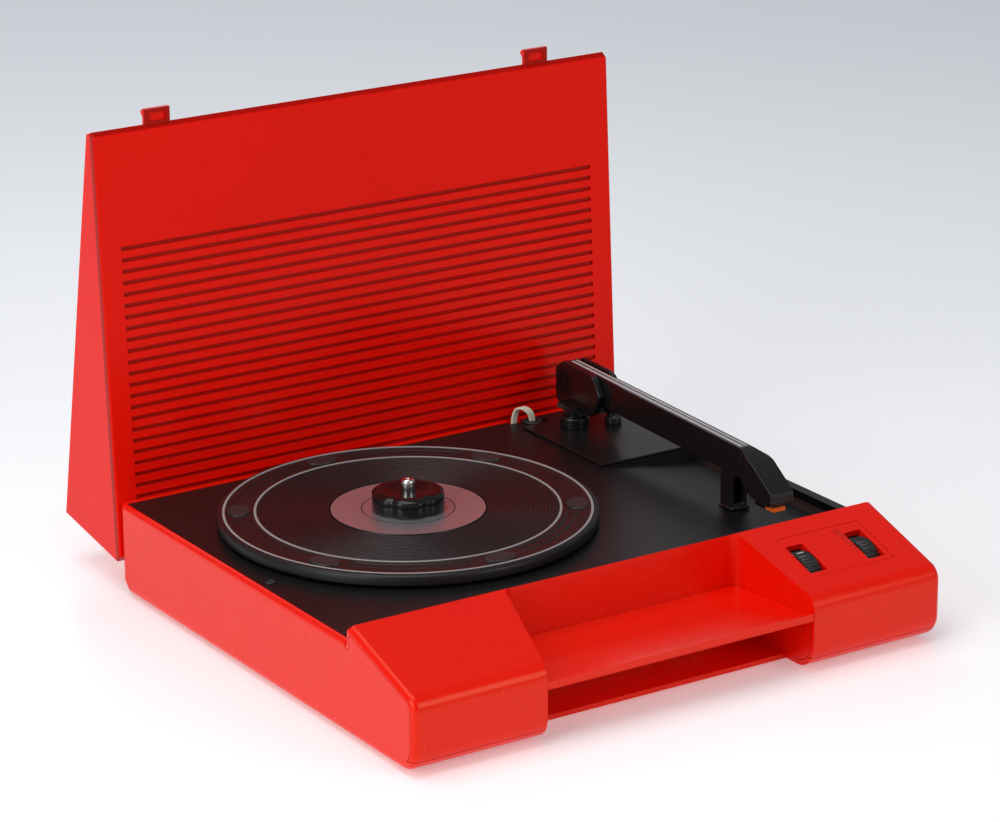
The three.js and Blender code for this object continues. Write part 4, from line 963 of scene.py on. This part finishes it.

# ---------------------------------------------------------------- floor and light
# A sheet of white acrylic runs back from under the box. Its colour is painted from white to grey blue with
# distance as a painted falloff of the light, and a faint painted glow lifts it. Soft boxes light it from above, from
# both sides and from behind.

FLOOR_REACH = 14.0
FADE_START = -0.6
FADE_LENGTH = 3.0
NEAR_WHITE = (0.93, 0.93, 0.93, 1)
FAR_GREY_BLUE = (0.60, 0.635, 0.68, 1)
floor_mesh = bpy.data.meshes.new("floor")
floor_corners = [(FLOOR_REACH * x, FLOOR_REACH * y, 0) for x, y in ((-1, -1), (1, -1), (1, 1), (-1, 1))]
floor_mesh.from_pydata(floor_corners, [], [(0, 1, 2, 3)])
floor = bpy.data.objects.new("floor", floor_mesh)
bpy.context.scene.collection.objects.link(floor)
acrylic = bpy.data.materials.new("white_acrylic")
acrylic.use_nodes = True
sheet = acrylic.node_tree
sheet_shader = sheet.nodes["Principled BSDF"]
place = sheet.nodes.new("ShaderNodeTexCoord")
turned = sheet.nodes.new("ShaderNodeMapping")
turned.inputs["Rotation"].default_value = (0, 0, -CAMERA_AZIMUTH)
axes = sheet.nodes.new("ShaderNodeSeparateXYZ")
ramp = sheet.nodes.new("ShaderNodeValToRGB")
sheet.links.new(place.outputs["Object"], turned.inputs["Vector"])
sheet.links.new(turned.outputs[0], axes.inputs[0])
faded = worked(sheet, "DIVIDE", worked(sheet, "SUBTRACT", axes.outputs["Y"], FADE_START), FADE_LENGTH)
sheet.links.new(faded, ramp.inputs[0])
ramp.color_ramp.elements[0].position = 0.1
ramp.color_ramp.elements[0].color = NEAR_WHITE
ramp.color_ramp.elements[1].position = 0.9
ramp.color_ramp.elements[1].color = FAR_GREY_BLUE
sheet.links.new(ramp.outputs[0], sheet_shader.inputs["Base Color"])
# The same ramp also feeds the emission: a faint painted glow on the sheet.
sheet.links.new(ramp.outputs[0], sheet_shader.inputs["Emission Color"])
sheet_shader.inputs["Emission Strength"].default_value = 0.26
sheet_shader.inputs["Roughness"].default_value = 0.28
sheet_shader.inputs["Specular IOR Level"].default_value = 0.3
floor_mesh.materials.append(acrylic)

SOFT_BOXES = [
    ("soft_box_top", (-0.45, -0.05, 1.75), (1.5, 1.3), 16.5),
    ("soft_box_left", (-1.9, -0.6, 0.9), (1.3, 1.2), 19.0),
    ("soft_box_right", (0.9, -2.0, 1.0), (1.0, 1.0), 10.0),
    ("soft_box_back", (0.6, 2.6, 1.6), (2.4, 1.4), 14.0),
]
AIM = Vector((0.0, 0.0, 0.08))
for name, spot, size, power in SOFT_BOXES:
    lamp = bpy.data.lights.new(name, "AREA")
    lamp.shape = "RECTANGLE"
    lamp.size, lamp.size_y = size
    lamp.energy = power
    soft_box = bpy.data.objects.new(name, lamp)
    soft_box.location = spot
    soft_box.rotation_mode = "QUATERNION"
    soft_box.rotation_quaternion = (AIM - Vector(spot)).to_track_quat("-Z", "Y")
    bpy.context.scene.collection.objects.link(soft_box)

world = bpy.data.worlds.new("studio")
world.use_nodes = True
world.node_tree.nodes["Background"].inputs["Color"].default_value = (0.86, 0.9, 1.0, 1)
world.node_tree.nodes["Background"].inputs["Strength"].default_value = 0.25
bpy.context.scene.world = world
bpy.context.scene.view_settings.view_transform = "Standard"
